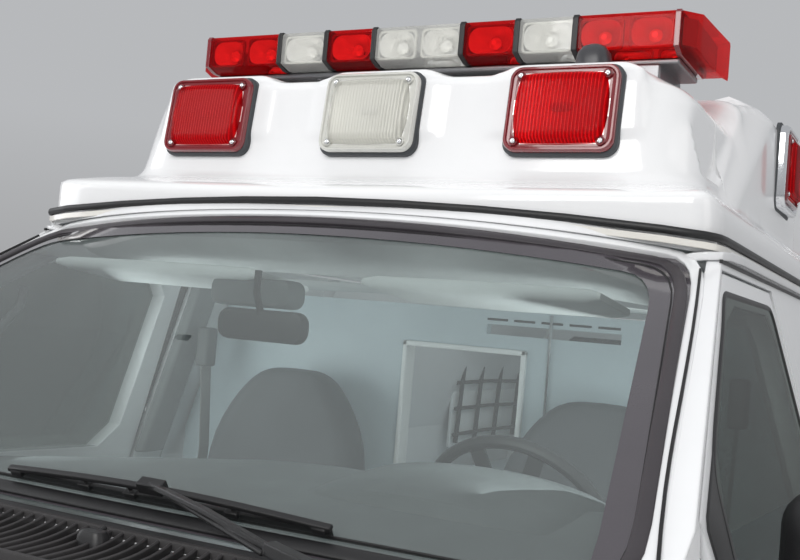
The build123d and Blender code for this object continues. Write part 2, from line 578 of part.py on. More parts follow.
base.append(box(-615, 615, BAR_Y0 + 50, BAR_Y1 - 50, BAR_Z0 - 14, BAR_Z0))
for x in (-520, 520):
    base.append(box(x - 45, x + 45, -690, -500, 2340, BAR_Z0 - 14))
dome = prism_y([(412, 2340), (485, 2340), (485, 2385), (470, 2405), (440, 2408), (418, 2396), (412, 2385)],
               -820, -750)
node("light_bar_base", cut(fuse(base), cap, red, clear, cap_in), cut(dome, cap, cap_in))

# Floor plate, step wells, wheel housings, engine cover and firewall, as separate pressings
SEAM = 0.2
END_Y = REAR_SKIN_Y - WALL - GAP
HOUSINGS = [
    {"r": ARCH_F, "y": AXLE_F_Y, "x_in": 520},
    {"r": ARCH_R, "y": AXLE_R_Y, "x_in": 630},
]
plate = box(-955, 955, FIRE_Y1 + SEAM, END_Y, FLOOR_Z0, FLOOR_Z1)
plate = cut(plate, box(-320, 320, -1900, -920, 640, 720))
pressings = []
for s in (1, -1):
    plate = cut(plate, box(s * 700, s * 1000, -1484, -510, 600, 800))
    tray = fuse(box(s * 690, s * 955, -1484, -510, DOOR_Z0 + 10, DOOR_Z0 + 40),
                box(s * 690, s * 700, -1484, -510, DOOR_Z0 + 10, FLOOR_Z0 - SEAM))
    pressings.append(tray)
    for h in HOUSINGS:
        r, y, x_in = h["r"], h["y"], h["x_in"]
        plate = cut(plate, cyl_x(r + 32 + SEAM, s * (x_in - SEAM), s * 1100, y, TYRE_R))
        hub = cut(cyl_x(r + 32, s * x_in, s * 955, y, TYRE_R),
                  cyl_x(r + 14, s * (x_in + 18), s * 1100, y, TYRE_R))
        hub = common(hub, box(s * 400, s * 1000, y - 600, y + 600, FLOOR_Z0, 1000))
        pressings.append(cut(hub, box(-940, 940, FIRE_Y0 - SEAM, FIRE_Y1 + SEAM, 600, 1500)))
COT = {"x": 80, "y": 1150, "dx": 254, "dy": 1100, "r": 5.25}
for i in (-0.5, 0.5):
    for j in (-0.5, 0.5):
        plate = cut(plate, cyl_z(COT["r"], 600, 800, COT["x"] + i * COT["dx"], COT["y"] + j * COT["dy"]))
cover = box(-335, 335, FIRE_Y1 + SEAM, -900, FLOOR_Z1 + SEAM, 1135)
cover = cut(cover, box(-315, 315, -1900, -920, 600, 1115))
shell_all = [side_slab(-80, WALL, -2700, 2600, 300, 1400), flip(side_slab(-80, WALL, -2700, 2600, 300, 1400))]
FREE = WALL + GAP
shell_all += both(side_slab(-80, FREE, -1500, -490, 300,
                            1400)) + [flip(side_slab(-80, FREE, SD_Y0 - 10, SD_Y1 + 10, 300, 1400))]
floor = [cut(p, shell_all, front) for p in [plate, cover] + pressings]
node("floor_pan", floor, fire)

# Chassis
chassis = both(box(RAIL_X0, RAIL_X1, -2540, END_Y, FRAME_Z0, FRAME_Z1))
for y in (-2500, -1100, -300, 700, 2470):
    chassis.append(box(-RAIL_X0, RAIL_X0, y - 40, y + 40, FRAME_Z0 + 100, FRAME_Z1 - 5))
JACK_Y, JACK_LONG, JACK_DEEP = -700, 120, 8
chassis += both(box(RAIL_X0, RAIL_X1, JACK_Y - JACK_LONG / 2, JACK_Y + JACK_LONG / 2, FRAME_Z0 - JACK_DEEP,
                    FRAME_Z0))
node("frame_rails", fuse(chassis))
beam = [box(-KINGPIN_X, KINGPIN_X, AXLE_F_Y - 30, AXLE_F_Y + 30, 345, 420)]
for s in (1, -1):
    beam += [cyl_z(36, 335, 440, s * KINGPIN_X, AXLE_F_Y), cyl_z(14, 300, 470, s * KINGPIN_X, AXLE_F_Y),
             cyl_z(55, 420, 640, s * 500, AXLE_F_Y),
             box(s * RAIL_X1, s * 500, AXLE_F_Y - 55, AXLE_F_Y + 55, 560, 640),
             box(s * 470, s * 530, AXLE_F_Y + 30, -1150, 372, 415),
             box(s * RAIL_X1, s * 530, -1210, -1150, 372, 600)]
node("front_axle", cut(fuse(beam), NODES["frame_rails"]))
RX = TRACK_R / 2
LEAF_Z = 455
springs = []
rear_ax = [cyl_x(50, -700, 700, AXLE_R_Y, TYRE_R), cyl_x(150, -110, 110, AXLE_R_Y, TYRE_R)]
for s in (1, -1):
    rear_ax += [cyl_x(165, s * 640, s * 715, AXLE_R_Y, TYRE_R),
                cyl_x(40, s * 700, s * (RX + 10), AXLE_R_Y, TYRE_R),
                box(s * 480, s * 570, AXLE_R_Y - 70, AXLE_R_Y + 70, 400, LEAF_Z - SEAM)]
    leaf_line = [(930, 520), (1300, LEAF_Z), (1760, LEAF_Z), (2130, 520), (2130, 550), (1760, 490),
                 (1300, 490), (930, 550)]
    springs.append(fuse(prism_x(leaf_line, s * 490, s * 560),
                        box(s * RAIL_X1, s * 560, 915, 960, 505, 600),
                        box(s * RAIL_X1, s * 560, 2100, 2145, 505, 600)))
node("rear_axle", fuse(rear_ax), springs)
engine = [box(-270, 270, -2300, -1560, 500, 1080), box(-RAIL_X0, RAIL_X0, -1940, -1860, 530, 590),
          cyl_y(140, -1560, -930, 0, 590), cyl_y(42, -930, 1400, 0, 480)]
node("engine_block", cut(fuse(engine), NODES["rear_axle"], NODES["frame_rails"], floor))
EX_X, EX_Z = -330, 396
exhaust = [cyl_y(30, -1700, 1010, EX_X, EX_Z), cyl_y(95, -100, 600, EX_X, EX_Z),
           cyl_x(30, -975, EX_X, 1010, EX_Z),
           box(EX_X - 20, EX_X + 20, -1690, -1620, EX_Z, 560), box(EX_X - 20, -265, -1690, -1620, 530, 570),
           box(-RAIL_X1, EX_X, 690, 710, EX_Z, FRAME_Z0), box(-RAIL_X1, EX_X, -210, -190, EX_Z, FRAME_Z0)]
node("exhaust", cut(fuse(exhaust), engine[0], NODES["frame_rails"], NODES["rear_axle"], NODES["front_axle"]))
tank = fuse(fillet(box(-300, 300, 1860, 2440, 390, 600).edges().filter_by(Axis.Y), 40),
            box(-RAIL_X0, RAIL_X0, 1950, 1990, 560, 590), box(-RAIL_X0, RAIL_X0, 2310, 2350, 560, 590))
node("fuel_tank", tank)

# Rear bumper with step and hitch hole, tail lamps
STEP_Z0, STEP_Z1 = 470, 560
rb = box(-960, 960, REAR_SKIN_Y + 8, 2700, STEP_Z0, STEP_Z1)
rb = fuse(rb, hitch_arms)
HITCH = (0, 2652, 13.2)
rb = cut(rb, cyl_z(HITCH[2], 400, 600, HITCH[0], HITCH[1]))
node("rear_bumper", rb)
node("tail_lamps", both(box(905, 965, REAR_SKIN_Y, REAR_SKIN_Y + 22, 760, 1040)))

# Interior of the cab
DASH_X = 780
dash = prism_x([(-1816, 1100), (-1816, 1440), (-1700, 1462), (-1200, 1468), (-1115, 1455), (-1088, 1405),
                (-1125, 1150), (-1250, 1100)], -DASH_X, DASH_X)
pod_x = prism_x([(-1450, 1440), (-1400, 1498), (-1190, 1526), (-1092, 1505), (-1092, 1300), (-1300, 1300)],
                190, 660)
dash = fuse(dash, pod_x)
dash = cut(dash, box(-800, 800, -1500, -900, 1000, 1136), box(-336, 336, -1816, -900, 1000, 1136))
dash = cut(dash, fire, floor, NODES["cab_frame"], NODES["windshield_seal"], NODES["cowl_panel"])
node("dash", dash)
WHEEL_C, WHEEL_R, WHEEL_TILT = (425, -960, 1430), 183, 28
AX = (0, cos(radians(WHEEL_TILT)), sin(radians(WHEEL_TILT)))
col_plane = Plane(origin=WHEEL_C, x_dir=(1, 0, 0), z_dir=AX)
ring = col_plane * Torus(WHEEL_R, 14)
hub = col_plane * Pos(0, 0, -30) * Cylinder(60, 30)
spokes = [col_plane * Pos(x, 0, -24) * Box(150, 34, 12) for x in (-110, 110)]
spokes += [col_plane * Pos(x, 0, -14) * Box(26, 34, 30) for x in (-182, 182)]
node("steering_wheel", fuse(ring, hub, spokes))
column = fuse(col_plane * Pos(0, 0, -45.5 - 110) * Cylinder(40, 220))
column = cut(column, dash)
NODES["dash"] = fuse(dash, column)

SEAT_X, SEAT_W = 425, 480
seat_parts = []
for s in (1, -1):
    x = s * SEAT_X
    back = prism_x([(-560, 1010), (-430, 1010), (-400, 1600), (-425, 1648), (-480, 1648), (-510, 1600)],
                   x - SEAT_W / 2, x + SEAT_W / 2)
    cushion = box(x - SEAT_W / 2, x + SEAT_W / 2, -960, -500, 960, 1070)
    riser = box(x - 70, x + 200, -860, -560, FLOOR_Z1, 960) if s > 0 else box(x - 200, x + 70, -860, -560,
            FLOOR_Z1, 960)
    seat_parts.append(cut(fuse(back, cushion, riser), floor))
node("seats", seat_parts)

# Bulkhead with walkthrough
BH_Y = -300
bh = box(-900, 900, BH_Y - 15, BH_Y + 15, FLOOR_Z1, 1850)
bh = cut(bh, box(-170, 170, BH_Y - 50, BH_Y + 50, FLOOR_Z1, 1738))
bh = cut(bh, box(60, 420, BH_Y - 50, BH_Y + 50, 1786, 1812))
bh = cut(bh, side_slab(-300, WALL, -400, 0, 500, 1982), flip(side_slab(-300, WALL + GAP, -400, 0, 500, 1982)))
node("bulkhead", bh)
headliner = cut(box(-735, 735, -960, BH_Y, 1850, 1870))
side_in = side_slab(-300, WALL + GAP, -1200, 0, 500, 1982)
headliner = cut(headliner, side_in, flip(side_in))
visors = [box(-330, -60, -985, -960, 1795, 1868)]
mirror_in = fuse(box(-98, 90, -1262, -1240, 1741, 1794), box(-10, 2, -1250, -950, 1794, 1806),
                 box(-10, 2, -975, -960, 1794, 1862))
node("cab_trim", fuse(headliner, visors, cut(mirror_in, NODES["windshield"])))

# Patient room: bench on the right, cabinet on the left
cab_l = box(560, 920, 420, 2440, FLOOR_Z1, 1850)
cab_l = cut(cab_l, box(500, 930, AXLE_R_Y - ARCH_R - 60, AXLE_R_Y + ARCH_R + 60, FLOOR_Z1 - 1, 960))
side_long = side_slab(-300, WALL + 2, 0, 2600, 500, 1982)
cab_l = cut(cab_l, side_long)
bench = box(-900, -400, 800, 2440, FLOOR_Z1, 1130)
bench = cut(bench, box(-930, -580, AXLE_R_Y - ARCH_R - 60, AXLE_R_Y + ARCH_R + 60, FLOOR_Z1 - 1, 960),
            flip(side_long))
node("patient_furniture", cab_l, bench)

# Wheels
WHEELS = [
    {"name": "front_left", "x": TRACK_F / 2, "y": AXLE_F_Y},
    {"name": "front_right", "x": -TRACK_F / 2, "y": AXLE_F_Y},
    {"name": "rear_left", "x": RX, "y": AXLE_R_Y}, {"name": "rear_right", "x": -RX, "y": AXLE_R_Y},
]
STUB = 40
for w in WHEELS:
    s = 1 if w["x"] > 0 else -1
    sec = [(RIM_R, -95), (RIM_R + 60, -118), (TYRE_R - 45, -TYRE_W / 2), (TYRE_R - 12, -TYRE_W / 2 + 12),
           (TYRE_R, -TYRE_W / 2 + 34),
           (TYRE_R, TYRE_W / 2 - 34), (TYRE_R - 12, TYRE_W / 2 - 12), (TYRE_R - 45, TYRE_W / 2),
           (RIM_R + 60, 118), (RIM_R, 95)]
    tyre = revolve(make_face(Polyline(*[(r, 0, h) for r, h in sec], close=True)), Axis.Z)
    rsec = [(STUB + RUN, 10), (70, 10), (95, 42), (170, 30), (RIM_R - 26, 20), (RIM_R - 26, -95),
            (RIM_R, -95), (RIM_R, 95), (RIM_R - 14, 95), (RIM_R - 20, 36), (170, 44), (95, 56), (78, 62),
            (STUB + RUN, 62)]
    rim = revolve(make_face(Polyline(*[(r, 0, h) for r, h in rsec], close=True)), Axis.Z)
    place = Pos(w["x"], w["y"], TYRE_R) * Rot(0, 90 * s, 0)
    node("tyre_" + w["name"], place * tyre)
    node("rim_" + w["name"], place * rim)

# Steering knuckles
FX = TRACK_F / 2
kn = [box(KINGPIN_X - 30, KINGPIN_X + 62, AXLE_F_Y - 34, AXLE_F_Y + 34, 446, 476),
      box(KINGPIN_X - 30, KINGPIN_X + 62, AXLE_F_Y - 34, AXLE_F_Y + 34, 298, 328),
      box(KINGPIN_X + 44, KINGPIN_X + 62, AXLE_F_Y - 34, AXLE_F_Y + 34, 298, 476),
      cyl_x(STUB, KINGPIN_X + 62, FX + 62, AXLE_F_Y, TYRE_R),
      cyl_x(150, KINGPIN_X + 64, KINGPIN_X + 78, AXLE_F_Y, TYRE_R)]
knuckle = cut(fuse(kn), cyl_z(14 + RUN, 200, 600, KINGPIN_X, AXLE_F_Y))
node("knuckle_left", knuckle)
node("knuckle_right", flip(knuckle))

# Door hinges: pin and outer rings on the body, middle barrel on the door
HINGES = [
    {"door": "door_front_left", "body": "front_end", "x": HINGE_OUT, "y": -1487, "to_door": (0, 1),
     "z": (620, 1150)},
    {"door": "door_front_right", "body": "front_end", "x": -HINGE_OUT, "y": -1487, "to_door": (0, 1),
     "z": (620, 1150)},
    {"door": "side_door_front", "body": "cab_frame", "x": -HINGE_OUT, "y": SD_Y0 + GAP / 2,
     "to_door": (0, 1), "z": (620, 1180)},
    {"door": "side_door_rear", "body": "side_wall_right", "x": -HINGE_OUT, "y": SD_Y1 - GAP / 2,
     "to_door": (0, -1), "z": (620, 1180)},
    {"door": "rear_door_left", "body": "rear_frame", "x": RD_X - GAP / 2, "y": REAR_SKIN_Y + 12,
     "to_door": (-1, 0), "z": (720, 1250)},
    {"door": "rear_door_right", "body": "rear_frame", "x": GAP / 2 - RD_X, "y": REAR_SKIN_Y + 12,
     "to_door": (1, 0), "z": (720, 1250)},
]
HALF, MID, LEAF = 30, 15, 26


def leaf(h, sign, z0, z1, start):
    dx, dy = h["to_door"]
    x, y = h["x"], h["y"]
    if dy:
        skin_x = (min(hw(z0), hw(z1)) - 6) * (1 if x > 0 else -1)
        return box(min(x, skin_x), max(x, skin_x), *sorted((y + sign * dy * start, y + sign * dy * LEAF)),
                   z0, z1)
    return box(*sorted((x + sign * dx * start, x + sign * dx * LEAF)), REAR_SKIN_Y - 6, y, z0, z1)


for h in HINGES:
    body_bits, door_bits = [], []
    for z in h["z"]:
        body_bits.append(cyl_z(PIN_R, z - HALF, z + HALF, h["x"], h["y"]))
        for z0, z1 in ((z - HALF, z - MID - 1), (z + MID + 1, z + HALF)):
            body_bits += [cyl_z(BARREL_R, z0, z1, h["x"], h["y"]), leaf(h, -1, z0, z1, 0)]
        door_bits += [cut(fuse(cyl_z(BARREL_R, z - MID, z + MID, h["x"], h["y"]),
                               leaf(h, 1, z - MID, z + MID, 6)),
                          cyl_z(PIN_R + RUN, z - HALF, z + HALF, h["x"], h["y"]))]
    NODES[h["body"]] = fuse(NODES[h["body"]], body_bits)
    NODES[h["door"]] = fuse(NODES[h["door"]], door_bits)
NODES["side_wall_right"] = cut(NODES["side_wall_right"], NODES["cab_frame"])

if __name__ == "__main__":
    for name, shape in NODES.items():
        export_step(shape, "parts/" + name + ".step")
    print(len(NODES), "nodes")
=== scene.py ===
import math

import bmesh
import bpy
import numpy as np
from mathutils import Matrix, Vector


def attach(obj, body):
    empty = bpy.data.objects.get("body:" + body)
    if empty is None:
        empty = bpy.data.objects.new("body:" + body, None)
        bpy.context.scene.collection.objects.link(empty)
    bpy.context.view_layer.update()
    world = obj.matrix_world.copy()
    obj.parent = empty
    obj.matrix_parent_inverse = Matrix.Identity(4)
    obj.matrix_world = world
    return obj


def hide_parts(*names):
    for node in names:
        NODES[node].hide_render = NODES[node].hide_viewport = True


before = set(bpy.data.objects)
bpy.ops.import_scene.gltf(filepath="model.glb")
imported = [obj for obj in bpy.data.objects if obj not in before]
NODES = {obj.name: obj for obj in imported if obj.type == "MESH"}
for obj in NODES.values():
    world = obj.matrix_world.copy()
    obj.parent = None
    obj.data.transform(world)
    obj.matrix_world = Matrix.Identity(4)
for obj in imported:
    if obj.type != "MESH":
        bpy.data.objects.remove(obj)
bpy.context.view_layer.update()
scene = bpy.context.scene
SIDES = (("left", 1), ("right", -1))


# Materials
class Shader:
    """Node tree of a material or world; methods add nodes and give back the output that is used next."""

    def __init__(self, block, output="ShaderNodeOutputMaterial", coords="Object"):
        block.use_nodes = True
        self.block, self.tree = block, block.node_tree
        self.tree.nodes.clear()
        self.out = self.add(output)
        self.pos = self.add("ShaderNodeTexCoord").outputs[coords]

    def add(self, kind, inputs=None, **values):
        node = self.tree.nodes.new(kind)
        for key, value in values.items():
            setattr(node, key, value)
        for key, value in (inputs or {}).items():
            if isinstance(value, bpy.types.NodeSocket):
                self.tree.links.new(value, node.inputs[key])
            else:
                node.inputs[key].default_value = value
        return node

    def show(self, shader):
        self.tree.links.new(shader, self.out.inputs["Surface"])
        return self.block

    def noise(self, scale, detail=4, rough=0.55, stretch=None):
        source = self.pos
        if stretch:
            source = self.add("ShaderNodeMapping", {"Vector": source, "Scale": stretch}).outputs[0]
        values = {"Vector": source, "Scale": scale, "Detail": detail, "Roughness": rough}
        return self.add("ShaderNodeTexNoise", values).outputs["Fac"]

    def ramp(self, fac, *stops):
        """Colour ramp between two stops (place, colour)."""
        node = self.add("ShaderNodeValToRGB", {"Fac": fac})
        for stop, (place, colour) in zip(node.color_ramp.elements, stops):
            stop.position, stop.color = place, (*colour, 1)
        return node.outputs["Color"]

    def math(self, operation, *values, clamp=False):
        node = self.add("ShaderNodeMath", dict(enumerate(values)), operation=operation, use_clamp=clamp)
        return node.outputs[0]

    def blend(self, a, share_a, b, share_b):
        """Weighted sum of two outputs."""
        return self.math("ADD", self.math("MULTIPLY", a, share_a), self.math("MULTIPLY", b, share_b))

    def axis(self, i):
        return self.add("ShaderNodeSeparateXYZ", {0: self.pos}).outputs[i]

    def bump(self, height, strength, distance, edge=0.0):
        """Bump normal, with edges rounded at the radius edge."""
        values = {"Height": height, "Strength": strength, "Distance": distance}
        if edge:
            values["Normal"] = self.add("ShaderNodeBevel", {"Radius": edge}, samples=4).outputs[0]
        return self.add("ShaderNodeBump", values).outputs[0]

    def mix(self, share, a, b):
        return self.add("ShaderNodeMixShader", {0: share, 1: a, 2: b}).outputs[0]

    def principled(self, **values):
        """Principled surface; the inputs' names have _ for a space."""
        named = {key.replace("_", " "): value for key, value in values.items()}
        return self.show(self.add("ShaderNodeBsdfPrincipled", named).outputs[0])


def make_paint(name, base, edge=0.006, dirt=0.5, rough=0.16):
    """Gloss paint, with grime low down and in streaks."""
    m = Shader(bpy.data.materials.new(name))
    low = m.math("SMOOTH_MAX", m.math("SUBTRACT", 1.0, m.math("MULTIPLY", m.axis(2), 1.3)), 0.0, 0.1)
    streak = m.noise(9, 4, 0.6, stretch=(1, 1, 0.12))
    grime = m.math("MULTIPLY", m.blend(low, 0.55, streak, 0.10), dirt, clamp=True)
    tone = m.ramp(m.blend(m.noise(2.2, 5), 0.6, m.noise(38, 4, 0.65), 0.25),
                  (0.25, [c * 0.965 for c in base]), (0.75, base))
    mix = m.add("ShaderNodeMixRGB", {0: grime, 1: tone, 2: (0.36, 0.32, 0.27, 1)}, blend_type="MIX")
    return m.principled(Base_Color=mix.outputs[0], Coat_Weight=0.6, Coat_Roughness=0.06, IOR=1.5,
                        Roughness=m.math("ADD", rough, m.math("MULTIPLY", grime, 0.5)),
                        Normal=m.bump(m.noise(420, 2), 0.02, 0.0005, edge))


def make_plain(name, base, rough, bump, scale, metal=0.0, vary=0.25, edge=0.003, coat=0.0, spec=0.5):
    """Moulded or coated surface with a fine grain and an uneven tone."""
    m = Shader(bpy.data.materials.new(name))
    fine = m.noise(scale, 3, 0.6)
    dark, light = ([min(1, c * (1 + sign * vary)) for c in base] for sign in (-1, 1))
    colour = m.ramp(m.blend(m.noise(6, 5), 0.7, fine, 0.3), (0.3, dark), (0.7, light))
    return m.principled(Base_Color=colour, Metallic=metal, Coat_Weight=coat, Specular_IOR_Level=spec,
                        Roughness=m.math("ADD", rough - 0.06, m.math("MULTIPLY", m.noise(14, 4), 0.12)),
                        Normal=m.bump(fine, bump, 0.0008, edge))


def make_brushed(name, base, rough):
    m = Shader(bpy.data.materials.new(name))
    grain = m.noise(30, 3, 0.6, stretch=(1, 60, 60))
    return m.principled(Base_Color=m.ramp(grain, (0.3, [c * 0.8 for c in base]), (0.7, base)), Metallic=1.0,
                        Roughness=m.math("ADD", rough - 0.08, m.math("MULTIPLY", grain, 0.16)),
                        Normal=m.bump(grain, 0.05, 0.0003, 0.002))


FLUTE_PITCH = 0.0072


def make_shell(name, tint, gloss, reflect, flute=0.0, haze=0.0, mist=(1, 1, 1), skin=0.9):
    """Thin see-through shell: tinted transparency and haze under a glossy skin, fluted or plain."""
    m = Shader(bpy.data.materials.new(name))
    colour, mist = (*tint, 1), {"Color": (*mist, 1)}
    lit = dict(mist)
    if flute:
        wave = m.math("SINE", m.math("MULTIPLY", m.axis(0), 2 * math.pi / FLUTE_PITCH))
        shade = m.math("ADD", 1.0 - flute * 0.5, m.math("MULTIPLY", wave, flute * 0.5))
        grey = m.add("ShaderNodeCombineColor", {i: shade for i in range(3)}).outputs[0]
        colour = m.add("ShaderNodeMixRGB", {0: 1.0, 1: colour, 2: grey}, blend_type="MULTIPLY").outputs[0]
        normal = lit["Normal"] = m.bump(wave, 0.6, 0.0012)
    else:
        normal = m.bump(m.noise(60, 2), 0.03, 0.0006)
    body = m.add("ShaderNodeBsdfTransparent", {"Color": colour}).outputs[0]
    if haze:
        through = m.add("ShaderNodeBsdfTranslucent", mist).outputs[0]
        body = m.mix(haze, body, m.mix(0.5, through, m.add("ShaderNodeBsdfDiffuse", lit).outputs[0]))
    facing = m.add("ShaderNodeFresnel", {"IOR": 1.5}).outputs[0]
    share = m.math("ADD", m.math("MULTIPLY", facing, skin), reflect, clamp=True)
    glossy = m.add("ShaderNodeBsdfGlossy", {"Roughness": gloss, "Normal": normal}).outputs[0]
    return m.show(m.mix(share, body, glossy))


WHITE = make_paint("white_gelcoat", (0.86, 0.865, 0.875), edge=0.02, dirt=0.35)
BODY = make_paint("white_body_paint", (0.84, 0.85, 0.865), dirt=0.9)
CAPM = make_paint("white_moulding", (0.86, 0.865, 0.875), edge=0, dirt=0.35)
SILVER = make_paint("warm_white_moulding", (0.80, 0.78, 0.73), edge=0.003, dirt=0.3)
RIMW = make_paint("wheel_paint", (0.74, 0.75, 0.76), edge=0.003, dirt=0.9, rough=0.3)
RUBBER = make_plain("black_rubber", (0.012, 0.012, 0.013), 0.45, 0.3, 240)
FRIT = make_plain("glass_border", (0.060, 0.053, 0.062), 0.10, 0.02, 300, edge=0, coat=1.0, vary=0.1)
COWLP = make_plain("cowl_plastic", (0.030, 0.028, 0.029), 0.55, 0.35, 420)
BLACKP = make_plain("black_plastic", (0.014, 0.014, 0.015), 0.42, 0.3, 380)
GREYP = make_plain("cab_plastic", (0.105, 0.115, 0.117), 0.6, 0.35, 300)
GREYL = make_plain("cab_plastic_light", (0.21, 0.225, 0.225), 0.6, 0.3, 260)
HEADL = make_plain("headliner_cloth", (0.72, 0.74, 0.74), 0.9, 0.5, 700, vary=0.1)
VINYL = make_plain("seat_vinyl", (0.055, 0.058, 0.064), 0.55, 0.5, 520)
LAMINW = make_plain("room_board_white", (0.85, 0.86, 0.86), 0.35, 0.05, 300, coat=0.2, vary=0.05)
PANEL = make_plain("room_laminate", (0.52, 0.60, 0.64), 0.3, 0.05, 300, coat=0.3, vary=0.06)
FLOORM = make_plain("floor_vinyl", (0.14, 0.145, 0.15), 0.55, 0.4, 500)
STEELB = make_plain("chassis_paint", (0.020, 0.020, 0.021), 0.55, 0.4, 90, vary=0.5)
IRON = make_plain("engine_iron", (0.07, 0.068, 0.065), 0.6, 0.6, 60, metal=0.6, vary=0.4)
CHROME = make_plain("chrome_plate", (0.80, 0.81, 0.83), 0.10, 0.03, 200, metal=1.0, vary=0.04)
MIRRORG = make_plain("reflector", (0.90, 0.90, 0.90), 0.08, 0.08, 60, metal=1.0, vary=0.03, edge=0)
REFLW = make_plain("reflector_satin", (0.92, 0.92, 0.90), 0.25, 0.10, 90, metal=0.30, vary=0.04, edge=0,
                   spec=0.8)
TYRE = make_plain("tyre_rubber", (0.022, 0.021, 0.020), 0.75, 0.6, 220, vary=0.4)
BELT = make_plain("seat_belt", (0.30, 0.31, 0.30), 0.8, 0.6, 900)
DOMEM = make_plain("antenna_plastic", (0.045, 0.045, 0.050), 0.35, 0.1, 300)
REDD = make_plain("red_lens_rim", (0.19, 0.008, 0.014), 0.15, 0.02, 200, coat=0.8, vary=0.1)
CLEARD = make_plain("clear_lens_rim", (0.62, 0.62, 0.58), 0.15, 0.02, 200, coat=0.8, vary=0.1)
LIPM = make_plain("screen_rubber", (0.040, 0.035, 0.040), 0.35, 0.1, 300, vary=0.15)
GASKET = make_plain("lamp_gasket", (0.045, 0.05, 0.055), 0.55, 0.2, 300)
AMBER = make_plain("amber_lens", (0.85, 0.25, 0.01), 0.15, 0.05, 200, coat=0.6, vary=0.1)
ALU = make_brushed("bar_aluminium", (0.62, 0.63, 0.65), 0.30)
# Darker copy of the bar aluminium, used on the bar base: painted shade under the light bar
ALU_SHADED = make_brushed("bar_base_aluminium", (0.26, 0.26, 0.27), 0.38)
GLASSM = make_shell("windscreen_glass", (0.80, 0.86, 0.85), 0.012, 0.015, haze=0.22, mist=(0.60, 0.66, 0.66))
SIDEG = make_shell("side_glass", (0.34, 0.38, 0.36), 0.012, 0.02, skin=0.5)
DARKG = make_shell("room_glass", (0.10, 0.11, 0.11), 0.02, 0.08)
REDL = make_shell("red_lens", (1.0, 0.11, 0.11), 0.05, 0.0, haze=0.20, mist=(0.66, 0.008, 0.016), skin=0.25)
CLEARL = make_shell("clear_lens", (1.0, 1.0, 0.98), 0.05, 0.02, haze=0.38, mist=(1.0, 1.0, 0.97), skin=0.6)
REDF = make_shell("red_lens_fluted", (1.0, 0.055, 0.06), 0.12, 0.0, flute=0.85, haze=0.30,
                  mist=(0.80, 0.006, 0.018), skin=0.22)
CLEARF = make_shell("clear_lens_fluted", (1.0, 1.0, 0.96), 0.12, 0.01, flute=0.6, haze=0.36,
                    mist=(1.0, 0.99, 0.93), skin=0.5)

# Looks of the solids; a node that isn't listed is body paint
NODE_LOOKS = [
    (WHITE, "raised_roof"), (GLASSM, "windshield"), (RUBBER, "windshield_seal"), (COWLP, "cowl_panel"),
    (SIDEG, "door_glass_front_left door_glass_front_right"), (ALU, "light_bar_base"), (GREYP, "dash"),
    (DARKG, "side_window_left side_door_glass_front side_door_glass_rear"),
    (DARKG, "rear_door_glass_left rear_door_glass_right"),
    (BLACKP, "wipers mirror_left mirror_right grille steering_wheel"), (HEADL, "cab_trim"), (VINYL, "seats"),
    (CLEARL, "headlamps roof_lamps_clear light_bar_clear"), (REDL, "tail_lamps roof_lamps_red light_bar_red"),
    (PANEL, "bulkhead patient_furniture"), (FLOORM, "floor_pan"), (IRON, "engine_block"),
    (STEELB, "frame_rails front_axle rear_axle knuckle_left knuckle_right exhaust fuel_tank"),
    (CHROME, "front_bumper rear_bumper"),
    (TYRE, "tyre_front_left tyre_front_right tyre_rear_left tyre_rear_right"),
    (RIMW, "rim_front_left rim_front_right rim_rear_left rim_rear_right"),
]
looks = {name: mat for mat, names in NODE_LOOKS for name in names.split()}
for name, obj in NODES.items():
    obj.data.materials.clear()
    obj.data.materials.append(looks.get(name, BODY))

# Slot of each material, where a piece names no other
SLOTS = {
    "white_paint": (BODY, CAPM, SILVER), "black_rubber": (RUBBER, LIPM, GASKET), "room_panel": (LAMINW,),
    "black_plastic": (FRIT, COWLP, BLACKP, DOMEM), "grey_plastic": (GREYP, GREYL, HEADL),
    "seat_vinyl": (VINYL, BELT), "bumper_chrome": (CHROME, MIRRORG), "bar_aluminium": (ALU_SHADED, REFLW),
    "window_glass": (GLASSM, SIDEG), "red_lens": (REDL, REDF, REDD, AMBER),
    "clear_lens": (CLEARL, CLEARF, CLEARD), "tyre_rubber": (TYRE,), "rim_steel": (RIMW,),
}
SLOT_OF = {mat.name: slot for slot, mats in SLOTS.items() for mat in mats}


# Mesh helpers, all in metres
def piece(name, data, mat, slot=None, body="van", over=None, bevel=0.0, seg=2, subsurf=0, angle=35,
          mats=None, ids=None):
    """One smooth piece that rides on a body; over names the solid that it replaces."""
    verts, faces = data
    mesh = bpy.data.meshes.new(name)
    mesh.from_pydata([tuple(v) for v in verts], [], [tuple(f) for f in faces])
    mesh.update()
    bm = bmesh.new()
    bm.from_mesh(mesh)
    bmesh.ops.recalc_face_normals(bm, faces=bm.faces)
    bm.to_mesh(mesh)
    bm.free()
    ob = bpy.data.objects.new(name, mesh)
    scene.collection.objects.link(ob)
    for m in mats or [mat]:
        mesh.materials.append(m)
    for face, i in zip(mesh.polygons, ids or []):
        face.material_index = i
    for face in mesh.polygons:
        face.use_smooth = True
    mesh.set_sharp_from_angle(angle=math.radians(angle))
    if bevel:
        mod = ob.modifiers.new("edge", "BEVEL")
        mod.width, mod.segments, mod.limit_method, mod.angle_limit = bevel, seg, "ANGLE", math.radians(30)
        mod.harden_normals = False
    if subsurf:
        mod = ob.modifiers.new("smooth", "SUBSURF")
        mod.levels = mod.render_levels = subsurf
    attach(ob, body)
    slot or SLOT_OF[mat.name]
    if over:
        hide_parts(over)
    return ob


def join(parts):
    """Joins (verts, faces) pairs into one."""
    verts, faces = [], []
    for v, f in parts:
        start = len(verts)
        verts += list(v)
        faces += [tuple(i + start for i in face) for face in f]
    return verts, faces


